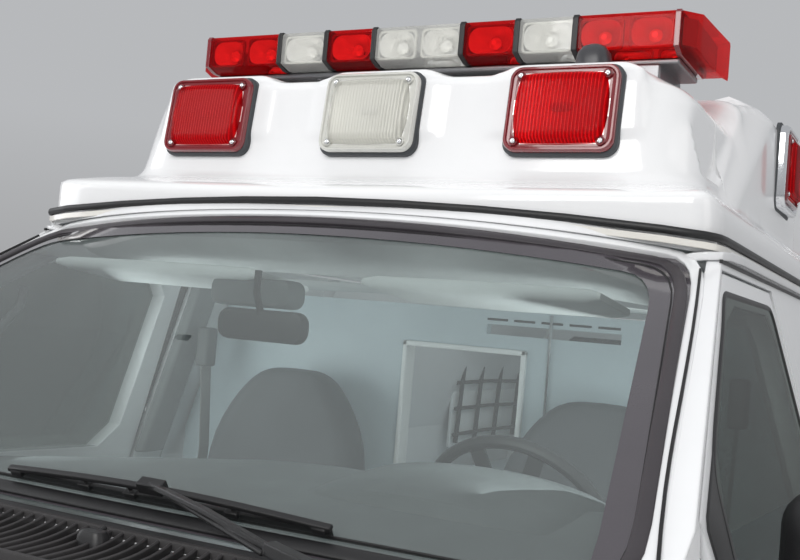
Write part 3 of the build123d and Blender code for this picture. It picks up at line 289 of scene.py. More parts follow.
def skin(rows, wrap=True, ring=False, cap=True):
    """Faces over rows of points: wrap closes each row, ring joins the last row to the first."""
    n, m = len(rows), len(rows[0])
    faces = []
    for i in range(n if ring else n - 1):
        k = (i + 1) % n
        for j in range(m if wrap else m - 1):
            q = (j + 1) % m
            faces.append((i * m + j, i * m + q, k * m + q, k * m + j))
    if cap and wrap and not ring:
        faces.append(tuple(reversed(range(m))))
        faces.append(tuple((n - 1) * m + j for j in range(m)))
    return [p for row in rows for p in row], faces


def grid(nu, nv, at):
    """Sheet over shares from -1 to 1 in both directions; at gives the point."""
    rows = [[at(-1 + 2 * i / nu, -1 + 2 * j / nv) for i in range(nu + 1)] for j in range(nv + 1)]
    return skin(rows, wrap=False)


def shares(n):
    """Numbers from 0 to 1 in n steps."""
    return [k / n for k in range(n + 1)]


def put(axis, t, a, b):
    """Point with t on the named axis and a, b on the two others."""
    p = [a, b]
    p.insert("xyz".index(axis), t)
    return tuple(p)


def box_data(x0, x1, y0, y1, z0, z1):
    v = [(x, y, z) for x in (x0, x1) for y in (y0, y1) for z in (z0, z1)]
    return v, [(0, 1, 3, 2), (4, 6, 7, 5), (0, 4, 5, 1), (2, 3, 7, 6), (0, 2, 6, 4), (1, 5, 7, 3)]


def oval(a, b, n=10):
    return [(a * math.cos(2 * math.pi * k / n), b * math.sin(2 * math.pi * k / n)) for k in range(n)]


def slab(x0, x1, y0, y1):
    return [(x0, y0), (x1, y0), (x1, y1), (x0, y1)]


def ridge(*half):
    """Profile that is alike on both sides; half is (half width, height) from the foot up."""
    return [(-a, h) for a, h in half] + [(a, h) for a, h in reversed(half)]


def flip(s, *points):
    """Points on the side s of the van."""
    return [(s * x, y, z) for x, y, z in points]


def round_rect(w, h, r, seg=6):
    out = []
    for sx, sy, start in ((1, 1, 0), (-1, 1, 90), (-1, -1, 180), (1, -1, 270)):
        for k in range(seg + 1):
            a = math.radians(start + 90 * k / seg)
            out.append((sx * (w / 2 - r) + r * math.cos(a), sy * (h / 2 - r) + r * math.sin(a)))
    return out


def rounded(axis, centre, steps, seg=6, s=1):
    """Outlines across an axis, on side s: steps are (place, width, height, corner radius)."""
    rows = []
    for t, w, h, r in steps:
        points = [put(axis, t, centre[0] + a, centre[1] + b) for a, b in round_rect(w, h, r, seg)]
        rows.append(flip(s, *points))
    return rows


def scaled(w, h, r, steps):
    """Steps for rounded() that share one outline: (place, scale)."""
    return [(t, w * k, h * k, r * k) for t, k in steps]


def tube(path, r, seg=10):
    """Round tube along points; r is one radius or one per point."""
    pts, rows, up = [Vector(p) for p in path], [], None
    for i, p in enumerate(pts):
        along = (pts[min(i + 1, len(pts) - 1)] - pts[max(i - 1, 0)]).normalized()
        up = along.orthogonal().normalized() if up is None else up
        up = (up - along * up.dot(along)).normalized()
        side = along.cross(up)
        radius = r[i] if isinstance(r, (list, tuple)) else r
        rows.append([tuple(p + (up * c + side * s) * radius) for c, s in oval(1, 1, seg)])
    return skin(rows)


def sweep(path, profile, up=(0, 0, 1), ring=False):
    """Carries a flat profile (side, up) along points; ring closes the line."""
    pts, last, rows = [Vector(p) for p in path], len(path) - 1, []
    for i, p in enumerate(pts):
        after = pts[(i + 1) % len(pts)] if ring else pts[min(i + 1, last)]
        before = pts[i - 1] if ring else pts[max(i - 1, 0)]
        along = (after - before).normalized()
        side = along.cross(Vector(up)).normalized()
        high = side.cross(along)
        rows.append([tuple(p + side * a + high * b) for a, b in profile])
    return skin(rows, ring=ring)


def lathe(profile, seg=48, centre=(0, 0, 0), axis="x"):
    """Turns (radius, place) points round an axis; open at both ends."""
    rows = []
    for c, s in oval(1, 1, seg):
        row = [put(axis, h, r * c, r * s) for r, h in profile]
        rows.append([tuple(a + b for a, b in zip(centre, p)) for p in row])
    return skin(rows, wrap=False, ring=True)


def moved(data, matrix):
    verts, faces = data
    return [tuple(matrix @ Vector(v)) for v in verts], faces


def corner(a, q, b, cut_a, cut_b, seg=5):
    """Short curve round the corner q between a and b."""
    pa, pb = q + (a - q).normalized() * cut_a, q + (b - q).normalized() * cut_b
    return [tuple((1 - t) ** 2 * pa + 2 * t * (1 - t) * q + t * t * pb) for t in shares(seg)]


def soft_poly(points, r):
    """Flat polygon with its corners rounded by short curves."""
    out, pts = [], [Vector(p) for p in points]
    for i, q in enumerate(pts):
        a, b = pts[i - 1], pts[(i + 1) % len(pts)]
        k = min(r, (a - q).length * 0.45, (b - q).length * 0.45)
        out += corner(a, q, b, k, k)
    return out


def soft_box(x0, x1, y0, y1, z0, z1, r, seg=3):
    """Box with rounded edges all round, as a stack of rounded outlines."""
    steps = []
    for top in (False, True):
        for t in shares(seg):
            a = math.pi / 2 * (t if top else 1 - t)
            g = r * (1 - math.cos(a))
            z = z1 - r + r * math.sin(a) if top else z0 + r - r * math.sin(a)
            w, d = x1 - x0 - 2 * g, y1 - y0 - 2 * g
            steps.append((z, w, d, min(max(r * 1.2 - g, 0.002), w / 2.1, d / 2.1)))
    return skin(rounded("z", ((x0 + x1) / 2, (y0 + y1) / 2), steps, 4))


def dense(points, step=0.05):
    out, pts = [], [Vector(p) for p in points]
    for i, a in enumerate(pts):
        b = pts[(i + 1) % len(pts)]
        k = max(1, int((b - a).length / step))
        out += [tuple(a + (b - a) * j / k) for j in range(k)]
    return out


# The body's surface laws, as in the CAD
SIDE = [(0.43, 0.968), (0.56, 1.0), (1.0, 1.007), (1.34, 0.979), (1.982, 0.776)]


def hw(z):
    """Half width of the body at a height."""
    for (z0, x0), (z1, x1) in zip(SIDE, SIDE[1:]):
        if z <= z1 or (z1, x1) == SIDE[-1]:
            return x0 + (z - z0) * (x1 - x0) / (z1 - z0)


def arc_y(x, half, yc, ys):
    """Y at x of the arc through (half, ys) and (0, yc)."""
    s = ys - yc
    if abs(s) < 1e-6:
        return yc
    r = (half * half + s * s) / (2 * s)
    return yc + r - math.copysign(math.sqrt(r * r - x * x), r)


def law(z):
    """Windscreen's Y at the middle and at the side."""
    return -1.830 + (z - 1.510) / 0.6838, -1.809 + (z - 1.510) * 1.7535


def screen_y(x, z, back=0.0):
    """Windscreen's Y, ruled between two arcs that are matched by their share of the width."""
    if z <= 1.95:
        z0, z1, a, b = 1.48, 1.95, law(1.48), law(1.95)
    else:
        z0, z1, a, b = 1.95, 2.022, law(1.95), (-1.092, -1.056)
    t = (z - z0) / (z1 - z0)
    h0, h1 = hw(z0), hw(z1)
    u = x / (h0 + (h1 - h0) * t)
    y0, y1 = arc_y(u * h0, h0, *a), arc_y(u * h1, h1, *b)
    return y0 + (y1 - y0) * t + back


def on_screen(points, back=0.0):
    return [(x, screen_y(x, z, back), z) for x, z in points]


FOOT_Z, SHOULDER_Z, CROWN_Z, FOOT_X, SHOULDER_X = 1.511, 1.944, 1.990, 0.873, 0.747
GLASS_OUT = (0, -0.56, 0.83)


def glass_outline(inset, r, n_top=24):
    """Points (x, z) of the glass outline moved in by inset, with round corners."""
    z0, x0, x1 = FOOT_Z + inset, FOOT_X - inset * 1.05, SHOULDER_X - inset
    z1, z2 = SHOULDER_Z - inset, CROWN_Z - inset
    rad = (x1 * x1 + (z2 - z1) ** 2) / (2 * (z2 - z1))
    top = [x1 - 2 * x1 * k / n_top for k in range(1, n_top)]
    arch = [(x, z2 - rad + math.sqrt(rad * rad - x * x)) for x in top]
    pts = [(x0, z0), (x1, z1), *arch, (-x1, z1), (-x0, z0)]
    out = []
    for i, p in enumerate(pts):
        if i in (0, 1, len(pts) - 2, len(pts) - 1):
            a, q, b = Vector(pts[i - 1]), Vector(p), Vector(pts[(i + 1) % len(pts)])
            out += corner(a, q, b, min(r, (a - q).length * 0.9), min(r, (b - q).length * 0.9))
        else:
            out.append(p)
    return out


# Windscreen border, inside the glass and as a thin gloss skin in front, so that it reads as printed
def pull(points, side, top, bottom):
    """Moves outline points inward by different widths at the side, top and bottom."""
    share = 1 - (top + bottom) / (CROWN_Z - FOOT_Z)
    return [(x * (1 - side / 0.81), FOOT_Z + bottom + (z - FOOT_Z) * share) for x, z in points]


border = dense(glass_outline(0.0, 0.07))
border_in = pull(border, 0.052, 0.040, 0.002)
lines = [on_screen(border, 0.0235), on_screen(border_in, 0.0235),
         on_screen(border_in, 0.0255), on_screen(border, 0.0255)]
piece("windscreen_border_inner", skin(list(zip(*lines)), ring=True), FRIT, angle=60)
lines = [on_screen(border, 0.0075), on_screen(border_in, 0.0075)]
piece("windscreen_border", skin(list(zip(*lines)), wrap=False, ring=True), FRIT)

# Rubber lip round the glass, and outside it the painted flange, black along the foot
LIP = ridge((0.0102, -0.006), (0.0102, 0.001), (0.008, 0.0025))
lip = on_screen(dense(glass_outline(0.0100, 0.072)), 0.002)
piece("windscreen_rubber_lip", sweep(lip, LIP, GLASS_OUT, ring=True), LIPM, over="windshield_seal",
      mats=[LIPM, RUBBER], ids=[int(z < 1.545) for x, y, z in lip for _ in LIP])
FLANGE = ridge((0.0105, -0.022), (0.0105, -0.001), (0.0085, 0.0))
flange = dense(glass_outline(-0.0090, 0.080), 0.03)
upper = [i for i, (x, z) in enumerate(flange) if z > 1.540]
for name, run, mat in (("windscreen_flange", flange[upper[0]:upper[-1] + 1], BODY),
                       ("windscreen_foot_rubber", flange[upper[-1]:] + flange[:upper[0] + 1], RUBBER)):
    piece(name, sweep(on_screen(run, 0.001), FLANGE, GLASS_OUT), mat)
groove = on_screen(dense(glass_outline(0.0215, 0.060), 0.03), 0.006)
profile = ridge((0.0012, -0.004), (0.0012, 0.001))
piece("windscreen_groove", sweep(groove, profile, GLASS_OUT, ring=True), RUBBER)

# Windscreen glass as one curved sheet, shrinking towards the height MID_Z
MID_Z = 1.74
edge = dense(glass_outline(0.001, 0.07), 0.04)
rows = []
for k in range(25):
    g = 1 - k / 24.5
    rows.append(on_screen([(x * g, MID_Z + (z - MID_Z) * g) for x, z in edge], 0.012))
piece("windscreen_sheet", skin(rows, cap=False), GLASSM, over="windshield")


# Raised roof as one smooth moulding, cast from blended surface laws
CAP_Y0, CAP_Y1, CAP_X = -0.62, 2.30, 0.48
JOINT_X, JOINT_Z, JOINT_DROP, REAR_Y = 0.776, 2.022, 0.040, 2.560
HEAD_Z = [2.090, 2.150, 2.225, 2.272, 2.306, 2.326, 2.333]
HEAD_HALF = [0.698, 0.695, 0.690, 0.680, 0.655, 0.612, 0.570]
HEAD_FRONT = [-0.9229, -0.9152, -0.9055, -0.8995, -0.8951, -0.8850, -0.8680]
HEAD_R = [0.130, 0.150, 0.165, 0.168, 0.150, 0.110, 0.085]
SUNK = [(-0.800, 2.135), (-0.645, 2.137), (-0.449, 2.293), (-0.825, 2.273)]
BOSS_X = [(-0.549, -0.316), (-0.112, 0.112), (0.316, 0.549)]
# Y of foot, knee and end of the side pods, at the root and at the outer face
PODS = [((-0.745, -0.335, 0.400), (-0.650, -0.198, 0.330)), ((1.270, 1.455, 2.250), (1.380, 1.560, 2.180))]


def smax(a, b, k):
    h = np.maximum(k - np.abs(a - b), 0.0)
    return np.maximum(a, b) + h * h / (4 * k)


def smin(a, b, k):
    return -smax(-a, -b, k)


def all_of(k, *terms):
    """Smooth maximum of many terms, one after the other."""
    out = terms[0]
    for t in terms[1:]:
        out = smax(out, t, k)
    return out


def beside(u, v, line, side):
    """Distances to the left (side 1) or right (-1) of each part of a line, in a plane with axes u, v."""
    return [side * ((v - v0) * (u1 - u0) - (u - u0) * (v1 - v0)) / math.hypot(u1 - u0, v1 - v0)
            for (u0, v0), (u1, v1) in zip(line, line[1:])]


def cap_distance(x, y, z):
    """Blended distance to the moulding, below zero inside."""
    ax = np.abs(x)
    edges = beside(ax, z, [(JOINT_X, 2.045), (0.762, 2.066), (0.705, 2.098)], -1) + [z - 2.098]
    edges += beside(ax, y, [(0, -1.094), (0.690, -1.074), (0.755, -1.058), (JOINT_X, -1.020)], -1)
    edges += beside(y, z, [(-1.100, 2.036), (-1.094, 2.050), (-1.075, 2.062), (-0.922, 2.097)], 1)
    skirt = all_of(0.014, ax - JOINT_X, *edges, y - REAR_Y)
    half, front, rad = (np.interp(z, HEAD_Z, row) for row in (HEAD_HALF, HEAD_FRONT, HEAD_R))
    qx, qy = ax - (half - rad), (front + rad) - y
    plan = np.hypot(np.maximum(qx, 0), np.maximum(qy, 0)) + np.minimum(np.maximum(qx, qy), 0) - rad
    top_y = z - np.interp(y, [-0.868, -0.740, -0.440], [2.333, 2.346, 2.384])
    top_x = z - np.interp(ax, [0, 0.480, 0.560, 0.612, 0.655, 0.680],
                          [2.400, 2.366, 2.346, 2.328, 2.306, 2.272])
    head = all_of(0.030, plan, top_y, top_x, y + 0.30)
    for x0, x1 in BOSS_X:
        side = (np.abs(x - (x0 + x1) / 2) - (x1 - x0) / 2 - np.clip((2.350 - z) * 1.6, 0, 0.035)) * 0.7
        top = z - np.interp(y, [-0.893, -0.888, -0.878, -0.862, -0.740, -0.640],
                            [2.318, 2.336, 2.345, 2.349, 2.352, 2.344])
        boss = all_of(0.016, side, top, -(y + 0.8995) + (z - 2.272) * 0.13, y + 0.60, 2.20 - z)
        head = smin(head, boss, 0.022)
    body = all_of(0.040, ax - 0.698 + (z - 2.080) * 0.044, (ax - 0.655) * 0.632 + (z - 2.392) * 0.775,
                  z - 2.450 + 0.0625 * ax * ax, (z - 2.366) * 0.972 - (y + 0.440) * 0.2345,
                  -0.440 - y, y - REAR_Y, (y - 2.52) * 0.973 + (z - 2.42) * 0.229,
                  (y - 2.48) * 0.707 + (z - 2.46) * 0.707)
    cap = smin(smin(skirt, head, 0.030), body, 0.035)
    poly = all_of(0.010, *beside(y, z, SUNK + SUNK[:1], -1))
    cap = smax(cap, -smax(poly, 0.670 + (y + 0.70) * 0.03 - ax, 0.006), 0.008)
    for (foot, knee, end), (foot_out, knee_out, end_out) in PODS:
        s = np.clip((ax - 0.680) / 0.042, 0, 1.3)
        inner = np.interp(z, [2.080, 2.372, 2.400], [foot, knee, knee + 0.105])
        outer = np.interp(z, [2.072, 2.350, 2.380], [foot_out, knee_out, knee_out + 0.075])
        rear = end + (end_out - end) * s + 0.04 * (2.400 - z) / 0.32
        pod = all_of(0.022, ax - 0.722 + (z - 2.072) * 0.0195, (inner + (outer - inner) * s - y) * 0.55,
                     z - 2.400 + (ax - 0.680) * 0.476, (y - rear) * 0.6, 0.600 - ax)
        cap = smin(cap, pod, 0.016)
    return cap


def span(a, b, step):
    n = max(1, int(round(abs(b - a) / step)))
    return [a + (b - a) * i / n for i in range(n)]


def cap_columns():
    """Centre (x, y), outward angle and kind (1 at the ends) of the upright sections, once round the plan."""
    quarter = math.pi / 2
    left = span(CAP_Y1, 1.20, 0.014) + span(1.20, 0.45, 0.040) + span(0.45, CAP_Y0, 0.007)
    right = span(CAP_Y0, 0.45, 0.012) + span(0.45, 1.20, 0.040) + span(1.20, CAP_Y1, 0.014)

    def turn(x, y, start, n):
        return [(x, y, start - quarter * i / n, 1) for i in range(n)]
    cols = [(0, y, 0, 0) for y in left] + turn(CAP_X, CAP_Y0, 0, 64)
    cols += [(x, CAP_Y0, -quarter, 1) for x in span(CAP_X, -CAP_X, 0.011)]
    cols += turn(-CAP_X, CAP_Y0, -quarter, 40) + [(0, y, -math.pi, 0) for y in right]
    cols += turn(-CAP_X, CAP_Y1, math.pi, 12) + [(x, CAP_Y1, quarter, 1) for x in span(-CAP_X, CAP_X, 0.03)]
    return cols + turn(CAP_X, CAP_Y1, quarter, 12)


def cast_cap(cols, aims, level):
    """Outermost point of the moulding along each ray; aims are (share of the reach, height)."""
    cx, cy, angle, end = (np.array([c[i] for c in cols], float)[:, None] for i in range(4))
    dx, dy = np.cos(angle), np.sin(angle)
    reach = np.where(end > 0, 0.30, 0.78)
    base_x = np.minimum(np.abs(cx + dx * reach), JOINT_X)
    crown = JOINT_Z - 0.0402 * (base_x / JOINT_X) ** 2 + 0.0003
    share, high = (np.array([aim[i] for aim in aims])[None, :] for i in range(2))
    along, up = reach * share, np.maximum(high - crown, 0.0)
    hx, hz = along / np.hypot(along, up), up / np.hypot(along, up)
    lo, hi = np.full(hx.shape, 0.02), np.full(hx.shape, 1.4)
    for _ in range(26):
        mid = (lo + hi) / 2
        inside = cap_distance(cx + dx * hx * mid, cy + dy * hx * mid, crown + hz * mid) < level
        lo, hi = np.where(inside, mid, lo), np.where(inside, hi, mid)
    return np.stack([cx + dx * hx * lo, cy + dy * hx * lo, crown + hz * lo], axis=-1)


aims = [(1.0, z) for z in span(1.982, 2.10, 0.0055)] + [(0.93, z) for z in span(2.10, 2.38, 0.0060)]
aims += [(0.93 * t, 2.38 + 0.06 * (1 - t)) for t in [1 - i / 28 for i in range(28)]] + [(0.001, 2.45)]
outer = cast_cap(cap_columns(), aims, 0.0)
inner = cast_cap(cap_columns()[::3], [(1.0, 1.982)] + aims[6::6] + [aims[-1]], -0.026)
liner = np.concatenate([outer[::3, :1], inner], axis=1)
piece("roof_moulding", skin(outer.tolist(), wrap=False, ring=True), CAPM, over="raised_roof", angle=70)
piece("roof_moulding_liner", skin(liner.tolist(), wrap=False, ring=True), HEADL, "white_paint", angle=70)

# Roof seam mouldings
SEAM = [(0.784, y) for y in (2.545, 1.6, 0.6, -0.3, -0.9)]
SEAM += [(0.783, -1.0), (0.780, -1.035), (0.774, -1.052), (0.762, -1.064), (0.692, -1.082), (0.52, -1.0875),
         (0.35, -1.092), (0.18, -1.0965), (0, -1.101)]


def seam_path(out, lift):
    """Line of the roof joint: along the left side, round the front, along the right side."""
    rad = (JOINT_X * JOINT_X + JOINT_DROP * JOINT_DROP) / (2 * JOINT_DROP)
    pts = []
    for x, y in SEAM + [(-x, y) for x, y in reversed(SEAM[:-1])]:
        z = JOINT_Z - rad + math.sqrt(rad * rad - min(abs(x), JOINT_X) ** 2) + lift
        y = y - out if abs(x) < 0.775 and y < -1.03 else y
        pts.append((x + math.copysign(out, x) if abs(x) > 0.75 else x, y, z))
    return pts


DRIP = [(-0.003, -0.006), (0.003, -0.006), (0.004, 0.0), (0.003, 0.006), (-0.003, 0.006)]
piece("roof_seam_rubber", sweep(seam_path(0.001, 0.004), oval(0.0065, 0.0075)), RUBBER)
piece("roof_drip_moulding", sweep(seam_path(0.0, -0.013), DRIP), SILVER)

# Roof lamps of 9 by 7 inches, made facing -Y with the gasket's back on y = 0
LAMP_W, LAMP_H, LENS_W, LENS_H = 0.229, 0.178, 0.195, 0.148
PLATE_Y = -0.0252


def lamp_rows(less, steps):
    """Rounded outlines that are lower than wide by less; steps are (width, y, corner radius)."""
    return rounded("y", (0, 0), [(y, w, w - less, r) for w, y, r in steps])


def lens_point(u, v):
    """Barrel curved face, wider in the middle."""
    edge = min(1.0, (1 - abs(u)) * 9, (1 - abs(v)) * 7)
    y = -0.026 - 0.016 * math.sqrt(max(edge, 0)) - 0.006 * (1 - u * u) * (1 - 0.4 * v * v)
    return u * LENS_W / 2 * (1.0 - 0.115 * v * v), y, v * LENS_H / 2 * (1 - 0.03 * u * u)


def bowl_point(s, v):
    """Border plate with a dished reflector behind the lens."""
    x = s * (LAMP_W - 0.030) / 2
    u = x / (LENS_W / 2 * (1.0 - 0.115 * v * v))
    dish = 0.0062 * (1 - u * u) * (1 - v * v) if max(abs(u), abs(v)) < 0.97 else 0.0
    return x, PLATE_Y + dish, v * LENS_H / 2


gasket = [(0.004, 0.010, 0.028), (-0.012, 0.010, 0.028), (-0.016, 0.002, 0.026)]
flange = [(0.228, -0.014, 0.026), (0.228, -0.026, 0.026), (0.223, -0.030, 0.024), (0.215, -0.030, 0.022),
          (0.211, -0.026, 0.020), (0.199, -0.0255, 0.016)]
bezel = [(0.262, 0.004, 0.03), (0.262, -0.018, 0.03), (0.254, -0.026, 0.03), (0.243, -0.026, 0.03),
         (0.236, -0.018, 0.03), (0.236, 0.0, 0.03)]
pad = [(0.276, 0.005, 0.034), (0.276, -0.004, 0.034), (0.262, -0.006, 0.034)]
well = [(0.0095, -0.0250), (0.0095, -0.0305), (0.0075, -0.0315), (0.0062, -0.0300)]
screw = [(0.0058, -0.0290), (0.0054, -0.0325), (0.0030, -0.0338), (0.0016, -0.0325), (0.0001, -0.0322)]
corners = [(x * 0.0895, 0, z * 0.0685) for x in (-1, 1) for z in (-1, 1)]
bulb = [(-0.022, -0.020, 0.004), (-0.014, -0.022, 0.004), (0.014, -0.022, 0.004), (0.022, -0.020, 0.004)]
LAMP = {
    "gasket": skin(rounded("y", (0, 0), [(y, LAMP_W + g, LAMP_H + g, r) for y, g, r in gasket])),
    "flange": skin(lamp_rows(LAMP_W - LAMP_H, flange), cap=False), "lens": grid(44, 20, lens_point),
    "bowl": grid(36, 24, bowl_point), "bulb": tube(bulb, [0.004, 0.009, 0.009, 0.004]),
    "wells": join([lathe(well, 16, at, "y") for at in corners]),
    "screws": join([lathe(screw, 14, at, "y") for at in corners]),
    "bezel": skin(lamp_rows(0.046, bezel), cap=False), "pad": skin(lamp_rows(0.046, pad)),
}
points, faces = LAMP["bowl"]
DISHED = [int(max(points[face[i]][1] for i in (0, 1, 3)) > PLATE_Y + 0.0002) for face in faces]


def place_lamp(tag, matrix, red, chrome=False):
    colour = "red" if red else "clear"
    rim, fluted = (REDD, REDF) if red else (CLEARD, CLEARF)

    def part(kind, mat, slot=colour + "_lens", **more):
        piece("roof_lamp_%s_%s" % (kind, tag), moved(LAMP[kind], matrix), mat, slot, **more)
    over = "roof_lamps_" + colour
    part("gasket", CHROME if chrome else GASKET, over=over, bevel=0.001)
    part("flange", rim, over=over)
    part("lens", fluted, over=over)
    part("bowl", REFLW, mats=[rim, REFLW], ids=DISHED)
    part("bulb", LAMINW)
    part("wells", rim)
    part("screws", CHROME)
    if chrome:
        part("bezel", CHROME, "bumper_chrome")
        part("pad", GASKET, "black_rubber")


FACE = Matrix.Translation((0, -0.9034, 2.240)) @ Matrix.Rotation(math.radians(-7.4), 4, "X")
for tag, x, red in (("right", -0.435, True), ("middle", 0.0, False), ("left", 0.435, True)):
    place_lamp("front_" + tag, Matrix.Translation((x, 0, 0)) @ FACE, red)
for end, y in (("front", 0.070), ("rear", 1.85)):
    for tag, s in SIDES:
        at = Matrix.Translation((s * 0.717, y, 2.282)) @ Matrix.Rotation(math.radians(90 * s), 4, "Z")
        place_lamp("side_%s_%s" % (tag, end), at, True, chrome=True)
for tag, x, red in (("left", 0.56, True), ("middle", 0.0, False), ("right", -0.56, True)):
    place_lamp("rear_" + tag, Matrix.Translation((x, REAR_Y, 2.130)) @ Matrix.Rotation(math.pi, 4, "Z"), red)

# Light bar, from its front Y0 to its back Y1 and from its foot Z0 to its top Z1
Y0, Y1, Z0, Z1 = -0.734, -0.458, 2.403, 2.491
BULB_Z = Z0 + 0.046


def bar_section(x, grow=0.0, taper=0.0):
    """Outline of the bar at x; taper moves the front back for the end caps."""
    y0, y1 = Y0 - grow + taper, Y1 + grow
    b = min(0.034, (y1 - y0) * 0.4)
    pts = [(y0, Z0 + 0.011), (y0, Z1 - 0.006), (y0 + 0.006, Z1), (y1 - 0.006, Z1), (y1, Z1 - 0.006),
           (y1, Z0 + 0.011), (y1 - b, Z0 - grow), (y0 + b, Z0 - grow)]
    return [(x, y, z + (grow if z > Z1 - 0.003 else 0)) for y, z in pts]


def bar_band(name, x, half, grow, mat, **more):
    piece(name, skin([bar_section(x - half, grow), bar_section(x + half, grow)]), mat, **more)


# Segments: from x to x, colour and count of bulbs
OUTER = [(0.115, 0.249, True, 1), (0.249, 0.384, False, 1), (0.384, 0.605, True, 2)]
SEGMENTS = [(-0.115, 0.115, False, 2)] + OUTER + [(-b, -a, red, bulbs) for a, b, red, bulbs in OUTER]
for a, b, red, bulbs in SEGMENTS:
    colour = "red" if red else "clear"
    tag = ("%s_%d" % (colour, round((a + b) * 500))).replace("-", "m")
    rows = [bar_section(a + 0.005 + (b - a - 0.010) * t) for t in shares(3)]
    piece("bar_lens_" + tag, skin(rows), REDL if red else CLEARL, over="light_bar_" + colour, bevel=0.003)
    w = (b - a) / bulbs
    for i in range(bulbs):
        cx = a + w * (i + 0.5)
        for side, s, y in (("f", -1, Y0 + 0.012), ("b", 1, Y1 - 0.012)):
            end = "_%s_%d%s" % (tag, i, side)
            steps = []
            for t in shares(7):
                k = 0.14 + 0.86 * t ** 0.6
                r, rz = w * 0.40 * k, 0.030 * k
                steps.append((y - s * 0.055 * (1 - t) ** 1.3, 2 * r, 2 * rz, min(r, rz) * 0.8))
            piece("bar_reflector" + end, skin(rounded("y", (cx, BULB_Z), steps, 5), cap=False), REFLW)
            path = [(cx, y - s * back, BULB_Z) for back in (0.048, 0.030, 0.020)]
            piece("bar_bulb" + end, tube(path, [0.009, 0.015, 0.006], 12), REFLW, "clear_lens")
            steps = [(y + s * out, w * 0.80 + e, 0.060 + e, 0.010)
                     for e, out in ((0.0, 0.0), (0.010, 0.0), (0.010, -0.006), (0.0, -0.006))]
            rows = rounded("y", (cx, BULB_Z), steps, 4)
            piece("bar_frame" + end, skin(rows, cap=False), REDD if red else CLEARD, "bar_aluminium")
for tag, s in SIDES:
    tapers = ((0.6105, 0.006), (0.646, 0.044), (0.653, 0.158), (0.660, 0.262))
    rows = [bar_section(s * x, 0.0, taper) for x, taper in tapers]
    piece("bar_cap_" + tag, skin(rows), REDL, over="light_bar_red", bevel=0.002)
    back, low, high = Y1 - 0.02, Z0 + 0.018, Z1 - 0.012
    rows = [flip(s, (x, front, low), (x, front, high), (x, back, high), (x, back, low))
            for x, front in ((0.612, Y0 + 0.020), (0.636, Y0 + 0.048))]
    piece("bar_cap_core_" + tag, skin(rows), REDD)
    bar_band("bar_joint_" + tag, s * 0.605, 0.0055, 0.0012, REDD)
    for x in (0.115, 0.249, 0.384):
        bar_band("bar_band_%d" % round(s * x * 1000 + 1000), s * x, 0.0065, 0.002, BLACKP, bevel=0.0015)

# Bar base with its feet, and the antenna dome in front
rail = [soft_box(-0.603, 0.603, Y0 + 0.048, Y1 - 0.048, Z0 - 0.015, Z0 - 0.001, 0.004)]
rail += [soft_box(x - 0.045, x + 0.045, -0.690, -0.500, 2.325, Z0 - 0.012, 0.006) for x in (-0.52, 0.52)]
rail += [tube([(x, Y0 + 0.070, Z0 - 0.018), (x, Y0 + 0.070, Z0 - 0.008)], 0.009) for x in (-0.30, 0.0, 0.30)]
# The rail takes the darker aluminium copy: painted shade under the bar
piece("bar_base_rail", join(rail), ALU_SHADED, over="light_bar_base", bevel=0.002)
dome = ((2.330, 0.080, 0.076), (2.372, 0.074, 0.070), (2.390, 0.066, 0.062), (2.402, 0.048, 0.046),
        (2.408, 0.022, 0.022))
rows = rounded("z", (0.4485, -0.785), [(z, w, d, min(w, d) * 0.42) for z, w, d in dome])
piece("antenna_dome", skin(rows), DOMEM)


# Cowl fins, nozzles and wipers
def cowl_z(y):
    return float(np.interp(y, (-1.984, -1.846, -1.816), (1.474, 1.494, 1.497)))


FIN = [(-0.0032, -0.002), (-0.0026, 0.0085), (0.0, 0.0100), (0.0026, 0.0085), (0.0032, -0.002)]
fins = []
for k in range(-43, 44):
    x, bow = k * 0.019, 0.012 if k >= 0 else -0.012
    path = []
    for t in shares(8):
        y = -1.968 + t * 0.118
        path.append((x + bow * math.sin(t * math.pi) + x * 0.02 * t, y, cowl_z(y)))
    fins.append(sweep(path, FIN))
for y in (-1.972, -1.846):
    path = [(x * 0.085, y, cowl_z(y)) for x in range(-10, 11)]
    fins.append(sweep(path, ridge((0.006, -0.002), (0.004, 0.011))))
piece("cowl_fins", join(fins), COWLP, angle=50)
z = cowl_z(-1.887)
for tag, x in (("left", 0.219), ("right", -0.40)):
    steps = scaled(0.040, 0.026, 0.010, ((z, 1.1), (z + 0.014, 1.0), (z + 0.020, 0.8), (z + 0.022, 0.3)))
    jet = tube([(x, -1.878, z + 0.016), (x, -1.868, z + 0.021)], 0.0035, 8)
    piece("washer_nozzle_" + tag, join([skin(rounded("z", (x, -1.887), steps)), jet]), BLACKP)


